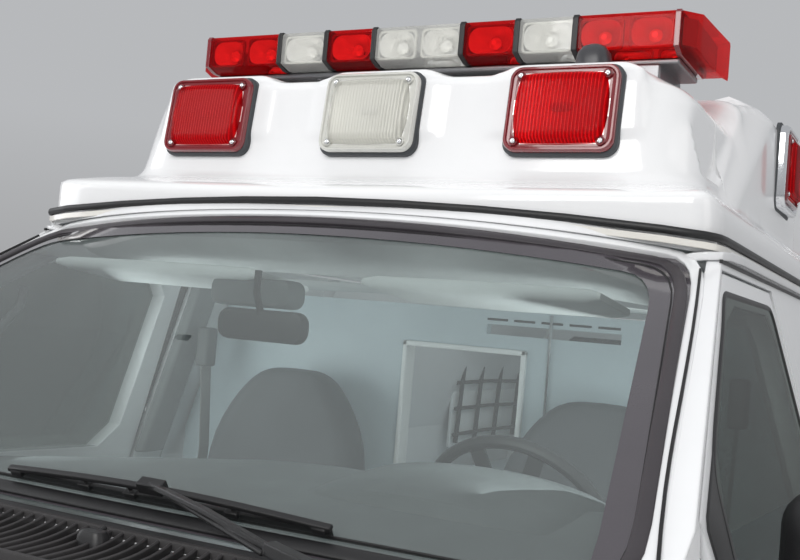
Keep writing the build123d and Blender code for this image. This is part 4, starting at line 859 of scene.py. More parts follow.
def wiper(tag, pivot_x, tip_x, root_x):
    """Arm from the pivot to the blade, blade with bridges and rubber, along the foot of the glass."""
    def at(t, up):
        x = tip_x + (root_x - tip_x) * t
        return Vector((x, screen_y(x, 1.534), 1.534)) + Vector(GLASS_OUT) * up

    def across(p, half, profile):
        return sweep([p + Vector((-half, 0, 0)), p + Vector((half, 0, 0))], profile, GLASS_OUT)
    rubber = ridge((0.0012, -0.004), (0.002, 0.006), (0.004, 0.0075))
    spine = [at(t, 0.013 + 0.012 * math.sin(t * math.pi)) for t in shares(12)]
    parts = [sweep([at(t, 0.004) for t in shares(12)], rubber, GLASS_OUT),
             sweep(spine, ridge((0.0055, -0.003), (0.0045, 0.003)), GLASS_OUT)]
    for t in (0.03, 0.27, 0.42, 0.58, 0.73, 0.97):
        foot, top = at(t, 0.0), at(t, 0.014 + 0.012 * math.sin(t * math.pi))
        parts += [across(foot, 0.010, ridge((0.0065, 0.004), (0.0065, 0.013))),
                  tube([foot + Vector((0, -0.004, 0.008)), top], 0.003, 6)]
    pivot, centre = Vector((pivot_x, -1.922, 1.492)), at(0.5, 0.030)
    knee = pivot + (centre - pivot) * 0.30 + Vector((0, -0.004, 0.020))
    spring = [knee + Vector((0.0, -0.012, -0.004)), centre + Vector((0.04, -0.010, -0.008)), centre]
    middle = knee + (centre - knee) * 0.5 + Vector((0, -0.002, 0.004))
    cap = [(0.0001, 0.046), (0.012, 0.044), (0.016, 0.036), (0.017, 0.0), (0.013, -0.020)]
    parts += [sweep([pivot + Vector((0, 0, 0.030)), knee], ridge((0.011, -0.006), (0.009, 0.008))),
              sweep([knee, middle, centre], ridge((0.006, -0.003), (0.005, 0.004))),
              tube(spring, 0.0035, 8), lathe(cap, 20, tuple(pivot), "z"),
              across(centre, 0.020, ridge((0.008, -0.010), (0.008, 0.006)))]
    piece("wiper_" + tag, join(parts), BLACKP, over="wipers", bevel=0.0008, seg=1)


wiper("left", 0.585, -0.025, 0.502)
wiper("right", -0.185, -0.790, -0.262)

# Front doors: window seals, sail patches, handles, mirrors and drip rails
SEAL = [(-0.005, -0.020), (-0.006, 0.000), (-0.003, 0.003), (0.002, 0.003), (0.006, 0.000), (0.007, -0.020)]
WINDOW = soft_poly([(-0.583, 1.372), (-0.583, 1.889), (-1.100, 1.889), (-1.190, 1.829), (-1.310, 1.760),
                    (-1.440, 1.685), (-1.512, 1.636), (-1.512, 1.372)], 0.035)
SAIL = [(-1.480, 1.385), (-1.500, 1.634), (-1.452, 1.680), (-1.600, 1.598), (-1.612, 1.584),
        (-1.578, 1.440), (-1.540, 1.385)]
DOOR = soft_poly([(-1.484, 0.502), (-0.506, 0.502), (-0.506, 1.922), (-1.062, 1.922), (-1.632, 1.594),
                  (-1.592, 1.440), (-1.484, 1.250)], 0.02)
# Points (x, z) of the gap between the screen pillar and the door, where a black strip is laid as painted
# shade of the gap
PILLAR = [(0.7635, 1.9266), (0.7748, 1.8920), (0.7845, 1.8620), (0.7966, 1.8223), (0.8052, 1.7919),
          (0.8132, 1.7632), (0.8235, 1.7250), (0.8333, 1.6875), (0.8420, 1.6560), (0.8518, 1.6241),
          (0.8645, 1.5876), (0.8740, 1.5627), (0.8870, 1.530)]


def on_side(points, s, out=0.0):
    """Puts points (y, z) on the body's side."""
    return [(s * (hw(z) + out), y, z) for y, z in points]


def side_loop(name, poly, s, body, profile=SEAL):
    path = on_side(dense(poly, 0.06), s)
    piece(name, sweep(path, profile, (s, 0, 0.25), ring=True), RUBBER, body=body)


def side_stack(s, y, z, size, steps):
    """Stack of rounded outlines on the body's side; steps are (height over the skin, scale)."""
    return skin(rounded("x", (y, z), scaled(*size, [(hw(z) + out, k) for out, k in steps]), s=s))


for tag, s in SIDES:
    body = tag + "_front_door"
    side_loop("door_window_seal_" + tag, WINDOW, s, body)
    pane = [on_side(WINDOW, s, -0.0035), on_side(WINDOW, s, 0.0005)]
    piece("door_window_pane_" + tag, skin(pane), SIDEG, body=body, over="door_glass_front_" + tag)
    sail = [on_side(SAIL, s, 0.0025), on_side(SAIL, s, -0.010)]
    piece("door_sail_patch_" + tag, skin(sail), BLACKP, body=body, bevel=0.003)
    side_loop("door_edge_rubber_" + tag, DOOR, s, body, ridge((0.004, -0.030), (0.004, -0.012)))
    path = on_side([(y, 1.372) for y in (-1.49, -1.2, -0.9, -0.61)], s, 0.003)
    belt = [(-0.003, -0.008), (0.004, -0.006), (0.004, 0.006), (-0.003, 0.008)]
    piece("door_belt_strip_" + tag, sweep(path, belt), RUBBER, body=body)
    steps = ((-0.002, 1.0), (0.006, 0.98), (0.007, 0.90), (-0.004, 0.82))
    cup = side_stack(s, -0.64, 1.230, (0.190, 0.060, 0.022), steps)
    piece("door_handle_cup_" + tag, cup, BLACKP, body=body)
    path = [(s * (hw(1.230) + out), y, 1.238)
            for out, y in ((0.006, -0.715), (0.022, -0.70), (0.024, -0.64), (0.022, -0.58), (0.006, -0.565))]
    grip = [(-0.004, -0.012), (0.004, -0.012), (0.005, 0.0), (0.004, 0.012), (-0.004, 0.012)]
    piece("door_handle_grip_" + tag, sweep(path, grip), BLACKP, body=body, bevel=0.002)
    # the drip rail starts with a rounded end at the screen pillar
    path = flip(s, (0.726, -1.044, 1.950), (0.745, -1.055, 1.953), (0.764, -1.054, 1.956),
                (0.782, -1.042, 1.958), (0.791, -1.012, 1.960))
    path += [(s * (hw(1.964) + 0.011), y, 1.962) for y in (-0.9, -0.6, 0.0, 0.8, 1.6, 2.5)]
    drip = [(-0.010, -0.010), (0.008, -0.010), (0.010, 0.004), (0.006, 0.005), (0.004, -0.004),
            (-0.010, -0.002)]
    piece("drip_rail_" + tag, sweep(path, drip), BODY, bevel=0.001)
    # Black strip just under the drip rail: painted shadow of the rail
    path = on_side([(y, 1.946) for y in (-1.052, -0.9, -0.5, 0.0, 0.8, 1.6, 2.5)], s, 0.002)
    piece("drip_rail_line_" + tag, sweep(path, slab(-0.004, 0.001, -0.003, 0.003)), RUBBER)
    # Black strip along the gap at the screen pillar: painted shade of the gap
    path = on_screen([(s * x, z) for x, z in PILLAR], -0.004)
    piece("pillar_gap_" + tag, sweep(path, slab(-0.0021, 0.0021, -0.004, 0.003), GLASS_OUT), RUBBER)
    shell = ((-1.550, 0.060), (-1.542, 0.030), (-1.520, 0.010), (-1.490, 0.0), (-1.456, 0.0), (-1.450, 0.006),
             (-1.450, 0.016), (-1.460, 0.018))
    steps = [(y, 0.200 - 2 * g, 0.274 - 2 * g, max(0.045 - g * 0.3, 0.02)) for y, g in shell]
    shell = skin(rounded("y", (1.068, 1.497), steps, s=s))
    piece("mirror_shell_" + tag, shell, BLACKP, body=body, over="mirror_" + tag)
    face = rounded("y", (1.068, 1.497), [(y, 0.162, 0.236, 0.03) for y in (-1.462, -1.456)], s=s)
    piece("mirror_face_" + tag, skin(face), MIRRORG, body=body, bevel=0.002)
    steps = ((-0.010, 1.0), (0.016, 0.96), (0.022, 0.80))
    arms = [sweep(flip(s, *((x, -1.500, z) for x in (hw(z) - 0.004, 0.975, 1.000))),
                  ridge((0.022, -0.012), (0.018, 0.014))) for z in (1.392, 1.450)]
    arms.append(side_stack(s, -1.500, 1.42, (0.085, 0.120, 0.03), steps))
    piece("mirror_arms_" + tag, join(arms), BLACKP, body=body, bevel=0.003)

# Seats with their belts; rows are (z, width, front, back, corner radius)
BACK = ((1.035, 0.44, -0.565, -0.425, 0.05), (1.060, 0.472, -0.585, -0.415, 0.06),
        (1.20, 0.480, -0.580, -0.410, 0.065), (1.36, 0.476, -0.555, -0.405, 0.065),
        (1.46, 0.455, -0.540, -0.402, 0.06), (1.54, 0.372, -0.530, -0.400, 0.055),
        (1.60, 0.285, -0.520, -0.402, 0.05), (1.635, 0.205, -0.505, -0.412, 0.04),
        (1.648, 0.110, -0.485, -0.430, 0.02))
CUSHION = ((0.962, 0.46, -0.945, -0.52, 0.075), (0.985, 0.478, -0.958, -0.505, 0.075),
           (1.030, 0.480, -0.960, -0.505, 0.075), (1.058, 0.466, -0.950, -0.510, 0.075),
           (1.070, 0.40, -0.90, -0.54, 0.075), (1.066, 0.24, -0.84, -0.60, 0.075))
for tag, s in (("driver", 1), ("passenger", -1)):
    cx = 0.425 * s
    for name, table in (("seat_back_", BACK), ("seat_cushion_", CUSHION)):
        rows = []
        for z, w, y0, y1, r in table:
            r = min(r, w / 2.2, (y1 - y0) / 2.2)
            rows += rounded("z", (cx, (y0 + y1) / 2), [(z, w, y1 - y0, r)], 5)
        piece(name + tag, skin(rows), VINYL, over="seats", subsurf=1)
    seam = ((-0.93, 1.052), (-0.85, 1.071), (-0.70, 1.072), (-0.58, 1.066))
    seams = [tube([(x, y, z) for y, z in seam], 0.005, 8) for x in (cx - 0.145, cx + 0.145)]
    seams.append(tube([(cx - 0.18, -0.575, 1.13), (cx, -0.586, 1.12), (cx + 0.18, -0.575, 1.13)], 0.004, 8))
    piece("seat_piping_" + tag, join(seams), VINYL)
    stand = [soft_box(cx - 0.17, cx + 0.17, -0.86, -0.56, 0.700, 0.962, 0.012)]
    stand += [soft_box(cx + x, cx + x + 0.030, -0.93, -0.50, 0.93, 0.99, 0.01) for x in (-0.225, 0.195)]
    piece("seat_base_" + tag, join(stand), BLACKP, "grey_plastic", over="seats")
    path = flip(s, (0.735, -0.46, 1.66), (0.725, -0.445, 1.40), (0.74, -0.44, 1.10), (0.76, -0.44, 0.75))
    piece("belt_" + tag, sweep(path, slab(-0.022, 0.022, -0.001, 0.001), (s, 0, 0)), BELT)
    x = s * 0.735
    piece("belt_guide_" + tag, soft_box(x - 0.020, x + 0.020, -0.485, -0.435, 1.625, 1.735, 0.008), GREYP)

# Steering wheel in its own frame, tilted by the column's 28 degrees, and the stalks
tilt = math.radians(28)
axis = Vector((0, math.cos(tilt), math.sin(tilt)))
WHEEL = Matrix((Vector((1, 0, 0)), axis.cross(Vector((1, 0, 0))), axis)).transposed().to_4x4()
WHEEL.translation = Vector((0.425, -0.960, 1.430))
axis = WHEEL.to_3x3() @ Vector((0, 0, 1))
hub = [(0.062, -0.046), (0.068, -0.030), (0.064, -0.014), (0.052, -0.004), (0.030, 0.002), (0.0001, 0.003)]
ring = [WHEEL @ Vector((x, y, 0)) for x, y in oval(0.183, 0.183, 48)]
parts = [sweep(ring, oval(0.0125, 0.0140), axis, ring=True), moved(lathe(hub, 32, axis="z"), WHEEL)]
for a in (200, 340, 250, 290):
    c, s = math.cos(math.radians(a)), math.sin(math.radians(a))
    line = ((0.050, -0.022), (0.110, -0.016), (0.176, -0.002))
    spoke = [WHEEL @ Vector((c * r, s * r, h)) for r, h in line]
    parts.append(sweep(spoke, ridge((0.016, -0.005), (0.012, 0.005)), axis))
piece("steering_wheel_full", join(parts), BLACKP, body="steering", over="steering_wheel")
stalks = [tube([(0.395, -1.05, 1.375), (0.30, -1.045, 1.39), (0.235, -1.03, 1.395)], [0.008, 0.006, 0.009]),
          tube([(0.455, -1.05, 1.375), (0.55, -1.04, 1.40), (0.60, -1.03, 1.44)], [0.008, 0.006, 0.010])]
piece("column_stalks", join(stalks), BLACKP)

# Dash top pad, column, instrument hood, vents and radio
DASH = [(-1.816, 1.100), (-1.816, 1.442), (-1.790, 1.448), (-1.700, 1.464), (-1.450, 1.470),
        (-1.210, 1.470), (-1.140, 1.462), (-1.102, 1.442), (-1.090, 1.405), (-1.104, 1.300),
        (-1.125, 1.150), (-1.250, 1.102)]
rows = []
for t in shares(32):
    x = -0.778 + 1.556 * t
    edge = max(0.0, abs(x) - 0.70) / 0.078
    rise = float(np.interp(x, [-0.778, -0.737, -0.497, -0.226, 0.019, 0.154, 0.778],
                           [-0.050, -0.046, -0.016, 0.018, 0.046, 0.052, 0.046]))
    row = []
    for y, z in DASH:
        near = min(1.0, max(0.0, (y + 1.78) / 0.5)) * min(1.0, max(0.0, (z - 1.28) / 0.16))
        row.append((x, y - (0.05 * edge * edge if y > -1.3 else 0), z + (rise - 0.02 * edge * edge) * near))
    rows.append(row)
piece("dash_pad", skin(rows), GREYP, over="dash", bevel=0.006)
path = [(0.425, -1.20, 1.302), (0.425, -1.03, 1.393), (0.425, -0.998, 1.410)]
piece("steering_column", tube(path, [0.046, 0.044, 0.036], 20), GREYP)
HOOD = ((-1.440, 1.480), (-1.400, 1.526), (-1.300, 1.546), (-1.180, 1.558), (-1.106, 1.549),
        (-1.084, 1.532), (-1.098, 1.480))
rows = []
for t in shares(16):
    e = math.sin(math.pi * t) ** 0.35 if 0 < t < 1 else 0.0
    rows.append([(0.185 + 0.48 * t, y, 1.480 + (z - 1.480) * e) for y, z in HOOD])
piece("instrument_hood", skin(rows), GREYP)
vents = []
for x in (-0.62, -0.20, 0.05, 0.72):
    steps = scaled(0.130, 0.070, 0.012, ((-1.085, 0.96), (-1.098, 1.0), (-1.112, 1.0)))
    vents.append(skin(rounded("y", (x, 1.360), steps)))
    for z in (1.335, 1.351, 1.367, 1.383):
        vents.append(box_data(x - 0.058, x + 0.058, -1.086, -1.080, z, z + 0.003))
piece("dash_vents", join(vents), BLACKP)
radio = [tube([(x, -1.094, 1.21), (x, -1.082, 1.21)], 0.014, 16) for x in (-0.10, -0.02, 0.06)]
piece("radio_stack", join([soft_box(-0.14, 0.10, -1.118, -1.094, 1.18, 1.33, 0.008)] + radio), BLACKP)

# Inside mirror, visors, headliner, pillar trims and grab handles
steps = scaled(0.200, 0.060, 0.024, ((-1.262, 0.80), (-1.258, 0.95), (-1.246, 1.0), (-1.238, 0.98)))
stem = tube([(-0.004, -1.255, 1.79), (-0.004, -1.275, 1.83), (-0.004, screen_y(0, 1.87, 0.03), 1.87)], 0.007)
piece("inside_mirror", join([skin(rounded("y", (-0.004, 1.768), steps)), stem]), BLACKP)
lean_cos, lean_sin = math.cos(0.10), math.sin(0.10)
for tag, x0, x1 in (("passenger", -0.62, -0.075), ("driver", 0.16, 0.62)):
    rows = []
    for t, half in ((0.0, 0.006), (0.06, 0.013), (0.5, 0.015), (0.94, 0.013), (1.0, 0.006)):
        x, outline = x0 + (x1 - x0) * t, round_rect(0.190, 2 * half, half * 0.9, 4)
        rows.append([(x, -1.080 + a * lean_cos + b * lean_sin, 1.858 - a * lean_sin + b * lean_cos)
                     for a, b in outline])
    piece("visor_" + tag, skin(rows), HEADL)
steps = scaled(0.195, 0.058, 0.022, ((-1.165, 0.85), (-1.158, 0.97), (-1.120, 1.0), (-1.100, 0.97)))
piece("visor_pad", skin(rounded("y", (-0.104, 1.831), steps)), GREYP)
across = [-0.655 + 1.31 * t for t in shares(20)]
rows = []
for y, z in ((-1.075, 1.945), (-1.05, 1.925), (-1.00, 1.912), (-0.94, 1.905), (-0.90, 1.885)):
    under = [(x, y, z - 0.030 * (abs(x) / 0.72) ** 4) for x in across]
    rows.append(under + [(0.655, y, z + 0.014), (-0.655, y, z + 0.014)])
piece("headliner_edge", skin(rows), HEADL, over="cab_trim")
across = [-0.735 + 1.47 * t for t in shares(16)]
rows = [[(x, -0.90 + 0.58 * t, 1.872 - 0.020 * (abs(x) / 0.74) ** 3) for x in across] for t in shares(7)]
piece("headliner_cloth", skin(rows, wrap=False), HEADL)
TRIM = ((-0.010, -0.030), (0.030, -0.020), (0.034, 0.055), (0.004, 0.065), (-0.018, 0.020))
POST = ((-0.020, -0.50), (0.0, -0.52), (0.0, -0.40), (-0.020, -0.41))
for tag, s in SIDES:
    rows = []
    for z in [1.46 + 0.047 * k for k in range(10)]:
        x = hw(z) - 0.052
        rows.append([(s * (x + a), screen_y(x, z, 0.085) + b, z) for a, b in TRIM])
    piece("screen_pillar_trim_" + tag, skin(rows), GREYL, bevel=0.006)
    rows = [[(s * (hw(z) - 0.055 + a), y, z) for a, y in POST] for z in (1.36, 1.6, 1.85)]
    piece("door_pillar_trim_" + tag, skin(rows), GREYL, bevel=0.006)
    path = flip(s, (0.765, -1.235, 1.66), (0.735, -1.225, 1.69), (0.715, -1.175, 1.76), (0.735, -1.15, 1.80))
    piece("grab_handle_" + tag, tube(path, 0.010), GREYP)

# Bulkhead: walkthrough frame, joint and slots; rack and board on the wall of the room
bars = [soft_box(x0, x1, -0.326, -0.274, z0, 1.750, 0.003)
        for x0, x1, z0 in ((-0.178, -0.164, 0.705), (0.164, 0.178, 0.705), (-0.178, 0.178, 1.736))]
piece("walkthrough_frame", join(bars), LAMINW)
piece("bulkhead_joint", soft_box(0.234, 0.242, -0.322, -0.314, 0.71, 1.845, 0.002), CHROME)
slots = []
for k in range(5):
    slots.append(soft_box(0.06 + 0.075 * k, 0.118 + 0.075 * k, -0.318, -0.3135, 1.822, 1.828, 0.001))
piece("bulkhead_slots", join(slots), BLACKP)
rack = []
for y in (1.64, 1.86, 2.10, 2.36):
    rack.append(tube([(-0.872, y, 1.26), (-0.862, y, 1.50), (-0.850, y, 1.74)], 0.011, 8))
for z in (1.30, 1.42, 1.54, 1.66):
    rack.append(tube([(-0.868, 1.60, z), (-0.866, 2.00, z + 0.006), (-0.868, 2.40, z)], 0.009, 8))
piece("wall_rack_bars", join(rack), BLACKP)
piece("wall_rack_board", soft_box(-0.900, -0.884, 1.60, 2.42, 1.24, 1.76, 0.004), LAMINW)

# Road wheels round the x axis; rows are (radius, place to the outside)
TYRE_ROWS = [(0.214, -0.094), (0.222, -0.104), (0.246, -0.114), (0.290, -0.1215), (0.332, -0.1222),
             (0.358, -0.1155), (0.372, -0.103), (0.378, -0.088), (0.3785, 0.0)]
TYRE_ROWS += [(r, -h) for r, h in reversed(TYRE_ROWS[:-1])]
RIBS = [(-0.098, -0.062), (-0.052, -0.022), (-0.012, 0.012), (0.022, 0.052), (0.062, 0.098)]
BLOCKS = 54
LIP_ROWS = [(0.196, 0.050), (0.200, 0.066), (0.206, 0.084), (0.214, 0.092), (0.220, 0.097), (0.224, 0.094),
            (0.217, 0.086), (0.213, 0.080), (0.190, 0.040), (0.190, -0.060), (0.206, -0.084), (0.217, -0.095),
            (0.212, -0.098), (0.196, -0.086), (0.182, -0.060), (0.182, 0.034)]
DISC_ROWS = [(0.197, 0.052), (0.186, 0.036), (0.176, 0.030), (0.168, 0.030), (0.150, 0.034), (0.136, 0.040),
             (0.124, 0.048), (0.108, 0.058), (0.095, 0.062), (0.070, 0.062), (0.045, 0.060)]
CAP_ROWS = [(0.064, 0.058), (0.062, 0.085), (0.054, 0.094), (0.030, 0.099), (0.0001, 0.100)]
NUT_ROWS = [(0.0001, 0.082), (0.006, 0.081), (0.0105, 0.076), (0.0105, 0.060)]
# Share of a hole's pitch that is open, by row of the disc; eight holes over 96 columns
HOLES = {2: 0.22, 3: 0.34, 4: 0.40, 5: 0.24}


def tread_block(s, i, k, h0, h1):
    """Block k in rib i of the tread, from h0 to h1 across."""
    a0, a1 = (2 * math.pi * (k + share + 0.5 * (i % 2)) / BLOCKS for share in (0.10, 0.88))
    skew = 0.010 if i % 2 else -0.010
    points = []
    for r in (0.3770, 0.3868):
        for a, h in ((a0, h0), (a1, h0), (a1 + skew, h1), (a0 + skew, h1)):
            low = r - 0.0035 if abs(h) > 0.09 and r > 0.38 else r
            points.append((h * s, low * math.cos(a), low * math.sin(a)))
    return points, [(4, 5, 6, 7), (0, 1, 5, 4), (1, 2, 6, 5), (2, 3, 7, 6), (3, 0, 4, 7)]


for tag, s, x, y in (("front_left", 1, 0.881, -1.975), ("front_right", -1, -0.881, -1.975),
                     ("rear_left", 1, 0.851, 1.53), ("rear_right", -1, -0.851, 1.53)):
    at = Matrix.Translation((x, y, 0.387))
    body = "wheel_" + tag

    def turned(rows, seg, centre=(0, 0, 0)):
        return lathe([(r, h * s) for r, h in rows], seg, centre)
    blocks = [tread_block(s, i, k, h0, h1) for i, (h0, h1) in enumerate(RIBS) for k in range(BLOCKS)]
    tyre = moved(join([turned(TYRE_ROWS, 72)] + blocks), at)
    piece("tyre_tread_" + tag, tyre, TYRE, body=body, over="tyre_" + tag, angle=32)
    piece("wheel_lip_" + tag, moved(turned(LIP_ROWS, 64), at), RIMW, body=body, over="rim_" + tag)
    points, faces = turned(DISC_ROWS, 96)
    solid = []
    for n, face in enumerate(faces):
        column, row = divmod(n, len(DISC_ROWS) - 1)
        if row not in HOLES or abs(column * 8 / 96 % 1.0 - 0.5) >= HOLES[row] / 2 + 0.02:
            solid.append(face)
    disc = piece("wheel_disc_" + tag, moved((points, solid), at), RIMW, body=body, over="rim_" + tag)
    thick = disc.modifiers.new("thick", "SOLIDIFY")
    thick.thickness, thick.offset = 0.005, 0.0
    parts = [turned(CAP_ROWS, 40)]
    for k in range(8):
        a = 2 * math.pi * k / 8 + 0.2
        parts.append(turned(NUT_ROWS, 6, (0, 0.0825 * math.cos(a), 0.0825 * math.sin(a))))
    piece("hub_cap_" + tag, moved(join(parts), at), CHROME, body=body, angle=25)
    valve = tube([(0.060 * s, 0.0, -0.196), (0.085 * s, 0.0, -0.188)], 0.004, 8)
    piece("valve_" + tag, moved(valve, at), RUBBER, "tyre_rubber", body)

# Nose and tail: lamps, markers, plates over the slots of the fenders, and the seals of the rear windows
MARKER = (0.110, 0.040, 0.010)
for tag, s in SIDES:
    cx, cz = 0.715 * s, 0.950
    steps = [(y, w, w + 0.010, r) for w, y, r in (
        (0.232, -2.600, 0.02), (0.232, -2.640, 0.02), (0.226, -2.646, 0.018), (0.206, -2.644, 0.014),
        (0.196, -2.622, 0.012), (0.194, -2.585, 0.012))]
    rows = rounded("y", (cx, cz), steps)
    piece("headlamp_bezel_" + tag, skin(rows, cap=False), CHROME, over="headlamps")

    def face_point(u, v):
        return cx + u * 0.097, -2.628 - 0.012 * (1 - u * u) * (1 - v * v), cz + v * 0.102
    piece("headlamp_lens_" + tag, grid(14, 14, face_point), CLEARF)
    steps = []
    for t in (1, 0.85, 0.65, 0.45, 0.25, 0.0):
        k = 0.2 + 0.8 * t
        steps.append((-2.622 + 0.045 * (1 - t) ** 1.6, 0.190 * k, 0.200 * k, 0.02 + 0.01 * (1 - t)))
    piece("headlamp_bowl_" + tag, skin(rounded("y", (cx, cz), steps)), MIRRORG, "clear_lens")
    path = [(cx, y, cz) for y in (-2.575, -2.600, -2.608)]
    piece("headlamp_bulb_" + tag, tube(path, [0.010, 0.012, 0.004], 12), CLEARD)
    turn = ((0.842, -2.634), (0.868, -2.628), (0.892, -2.606), (0.884, -2.596), (0.842, -2.606))
    rows = [[(s * x, y, z) for x, y in turn] for z in (0.835, 0.842, 1.058, 1.065)]
    piece("turn_lamp_" + tag, skin(rows), AMBER, bevel=0.003)
    marker = side_stack(s, -2.32, 0.92, MARKER, ((-0.030, 1.0), (0.004, 1.0), (0.009, 0.85)))
    piece("side_marker_front_" + tag, marker, AMBER)
    marker = side_stack(s, 2.40, 0.92, MARKER, ((-0.004, 1.0), (0.006, 1.0), (0.009, 0.85)))
    piece("side_marker_rear_" + tag, marker, REDD)
    rows = [[(s * x, y, 1.478 + (y + 1.990) * 0.5053 + lift) for x, y in slab(0.7735, 0.940, -2.214, -2.130)]
            for lift in (-0.0025, 0.0008)]
    piece("fender_top_plate_" + tag, skin(rows), BODY)
    rows = rounded("y", (0.935, 0.900), [(y, 0.066, 0.286, 0.012) for y in (2.562, 2.578)], s=s)
    piece("tail_lamp_base_" + tag, skin(rows), CHROME, over="tail_lamps", bevel=0.002)
    for k, (z0, z1, mat) in enumerate(((0.765, 0.842, CLEARF), (0.846, 0.924, AMBER), (0.928, 1.035, REDF))):
        steps = [(y, 0.054 * g, (z1 - z0) * g, 0.006) for y, g in ((2.576, 1.0), (2.583, 1.0), (2.585, 0.9))]
        lens = skin(rounded("y", (0.935, (z0 + z1) / 2), steps, s=s))
        piece("tail_lens_%s_%d" % (tag, k), lens, mat, "red_lens")
    window = soft_poly([(s * 0.130, 1.400), (s * 0.760, 1.400), (s * 0.690, 1.800), (s * 0.130, 1.800)], 0.06)
    path = [(x, 2.5615, z) for x, z in dense(window, 0.06)]
    seal = [(-0.012, -0.012), (-0.012, 0.003), (0.0, 0.006), (0.012, 0.003), (0.012, -0.012)]
    piece("rear_window_seal_" + tag, sweep(path, seal, (0, 1, 0), ring=True), RUBBER, body=tag + "_rear_door")
ring = rounded("y", (0, 0.945), [(-2.643, 1.150, 0.320, 0.02)], 4)[0]
frame_bar = [(-0.014, -0.010), (-0.012, 0.006), (0.0, 0.010), (0.012, 0.006), (0.014, -0.010)]
piece("grille_surround", sweep(ring, frame_bar, (0, -1, 0), ring=True), CHROME)
piece("front_plate_blank", soft_box(-0.155, 0.155, -2.706, -2.698, 0.515, 0.670, 0.003), GREYL)
strip = [(-0.004, -0.010), (0.006, -0.008), (0.006, 0.008), (-0.004, 0.010)]
piece("bumper_strip", sweep([(x, -2.703, 0.665) for x in (-0.39, 0.0, 0.39)], strip), RUBBER)
grip = ((2.572, 1.270), (2.596, 1.262), (2.600, 1.19), (2.596, 1.118), (2.572, 1.110))
path = [(0.085, y, z) for y, z in grip]
handle = [soft_box(0.045, 0.125, 2.556, 2.572, 1.090, 1.290, 0.006), tube(path, 0.008)]
piece("rear_door_handle", join(handle), CHROME, body="left_rear_door")
plate = soft_box(-0.46, -0.15, REAR_Y, 2.568, 0.74, 0.90, 0.003)
piece("rear_plate_blank", plate, GREYL, body="right_rear_door")
tread = []
for k in range(31):
    tread.append(soft_box(-0.90 + 0.06 * k, -0.872 + 0.06 * k, 2.60, 2.690, 0.559, 0.566, 0.002, 2))
piece("rear_step_tread", join(tread), BLACKP)

# Side windows' seals, side door handle and fuel flap
for name, s, body, y0, y1 in (("left_room", 1, "van", -0.23, 0.33),
                              ("side_door_front", -1, "front_side_door", -0.29, 0.14),
                              ("side_door_rear", -1, "rear_side_door", 0.32, 0.68)):
    side_loop("window_seal_" + name, soft_poly(slab(y0, y1, 1.4, 1.8), 0.06), s, body)
cup = side_stack(-1, 0.150, 1.20, (0.055, 0.200, 0.02), ((-0.002, 1.0), (0.008, 0.95)))
grip = ((0.006, 1.28), (0.028, 1.27), (0.028, 1.14), (0.006, 1.12))
path = [(-(hw(1.20) + out), 0.150, z) for out, z in grip]
piece("side_door_handle", join([cup, tube(path, 0.008)]), CHROME, body="front_side_door")
flap = side_stack(1, 2.10, 1.02, (0.16, 0.16, 0.02), ((-0.004, 1.0), (0.003, 1.0), (0.004, 0.97)))
piece("fuel_flap", flap, BODY)

# Camera as fitted to the photo: heading, rise and roll in degrees, focal length in pixels of 800 across
SENSOR = 36.0
heading, rise, roll = (math.radians(a) for a in (27.654, 2.284, 4.8835))
forward = Vector((-math.sin(heading) * math.cos(rise), math.cos(heading) * math.cos(rise), math.sin(rise)))
right = Vector((math.cos(heading), math.sin(heading), 0))
up = right.cross(forward)
level, upright = (right * math.cos(roll) + up * math.sin(roll), up * math.cos(roll) - right * math.sin(roll))
turn = Matrix((level, upright, -forward)).transposed().to_4x4()
camera = bpy.data.objects.new("camera", bpy.data.cameras.new("camera"))
scene.collection.objects.link(camera)
camera.matrix_world = Matrix.Translation((1.142, -2.894, 1.796)) @ turn
camera.data.sensor_width = SENSOR
camera.data.lens = 1058.607 / 800 * SENSOR
camera.data.clip_start, camera.data.clip_end = 0.05, 100
scene.camera = camera

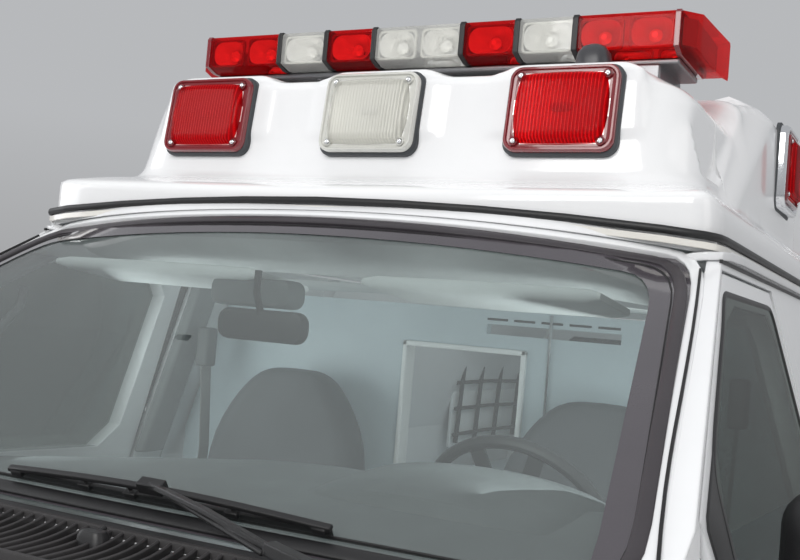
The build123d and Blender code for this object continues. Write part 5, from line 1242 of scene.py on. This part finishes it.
# Studio floor, lights and sky
floor_mesh = bpy.data.meshes.new("studio_floor")
floor_mesh.from_pydata([(x, y, 0) for x, y in slab(-40, 40, -40, 40)], [], [(0, 1, 2, 3)])
floor = bpy.data.objects.new("studio_floor", floor_mesh)
scene.collection.objects.link(floor)
grey = Shader(bpy.data.materials.new("studio_floor"))
tone = grey.ramp(grey.noise(0.6, 3), (0.3, (0.60, 0.60, 0.60)), (0.7, (0.64, 0.64, 0.64)))
floor_mesh.materials.append(grey.principled(Base_Color=tone, Roughness=0.8))


def area(name, place, target, size, power, color=(1, 1, 1), gloss=True):
    light = bpy.data.lights.new(name, "AREA")
    light.shape, light.energy, light.color = "RECTANGLE", power, color
    light.size, light.size_y = size
    ob = bpy.data.objects.new(name, light)
    scene.collection.objects.link(ob)
    ob.location, ob.visible_glossy, ob.visible_camera = place, gloss, False
    ob.rotation_mode = "QUATERNION"
    ob.rotation_quaternion = (Vector(target) - Vector(place)).to_track_quat("-Z", "Y")


area("key", (0.5, -9.0, 6.0), (0, -0.6, 1.8), (7, 4), 490, (1.0, 0.99, 0.97))
area("fill_left", (8.0, -1.0, 4.5), (0, 0, 1.4), (5, 4), 62, (1.0, 0.96, 0.93))
area("fill_right", (-8.0, -3.0, 4.0), (0, 0, 1.4), (5, 4), 150, (0.97, 0.98, 1.0))
area("top", (0, 0, 8.5), (0, 0, 1), (7, 9), 210, gloss=False)
area("back", (0, 8.0, 5.0), (0, 1.5, 1.5), (6, 4), 220, gloss=False)
for s in (1, -1):
    area("cab_window_%d" % (s + 1), (s * 0.66, -1.02, 1.62), (0, -0.62, 1.40), (0.7, 0.34), 3.6,
         (0.94, 1.0, 1.0), gloss=False)
area("room_lamp", (0, 0.9, 2.25), (0, 0.9, 1.0), (0.8, 1.8), 8, (0.97, 1.0, 1.0), gloss=False)
world = Shader(bpy.data.worlds.new("studio"), "ShaderNodeOutputWorld", "Generated")
height = world.math("MULTIPLY_ADD", world.axis(2), 0.5, 0.5)
sky = world.ramp(height, (0.42, (0.50, 0.50, 0.50)), (0.58, (0.95, 0.97, 1.0)))
scene.world = world.show(world.add("ShaderNodeBackground", {"Color": sky, "Strength": 0.50}).outputs[0])
scene.view_settings.view_transform = "Standard"
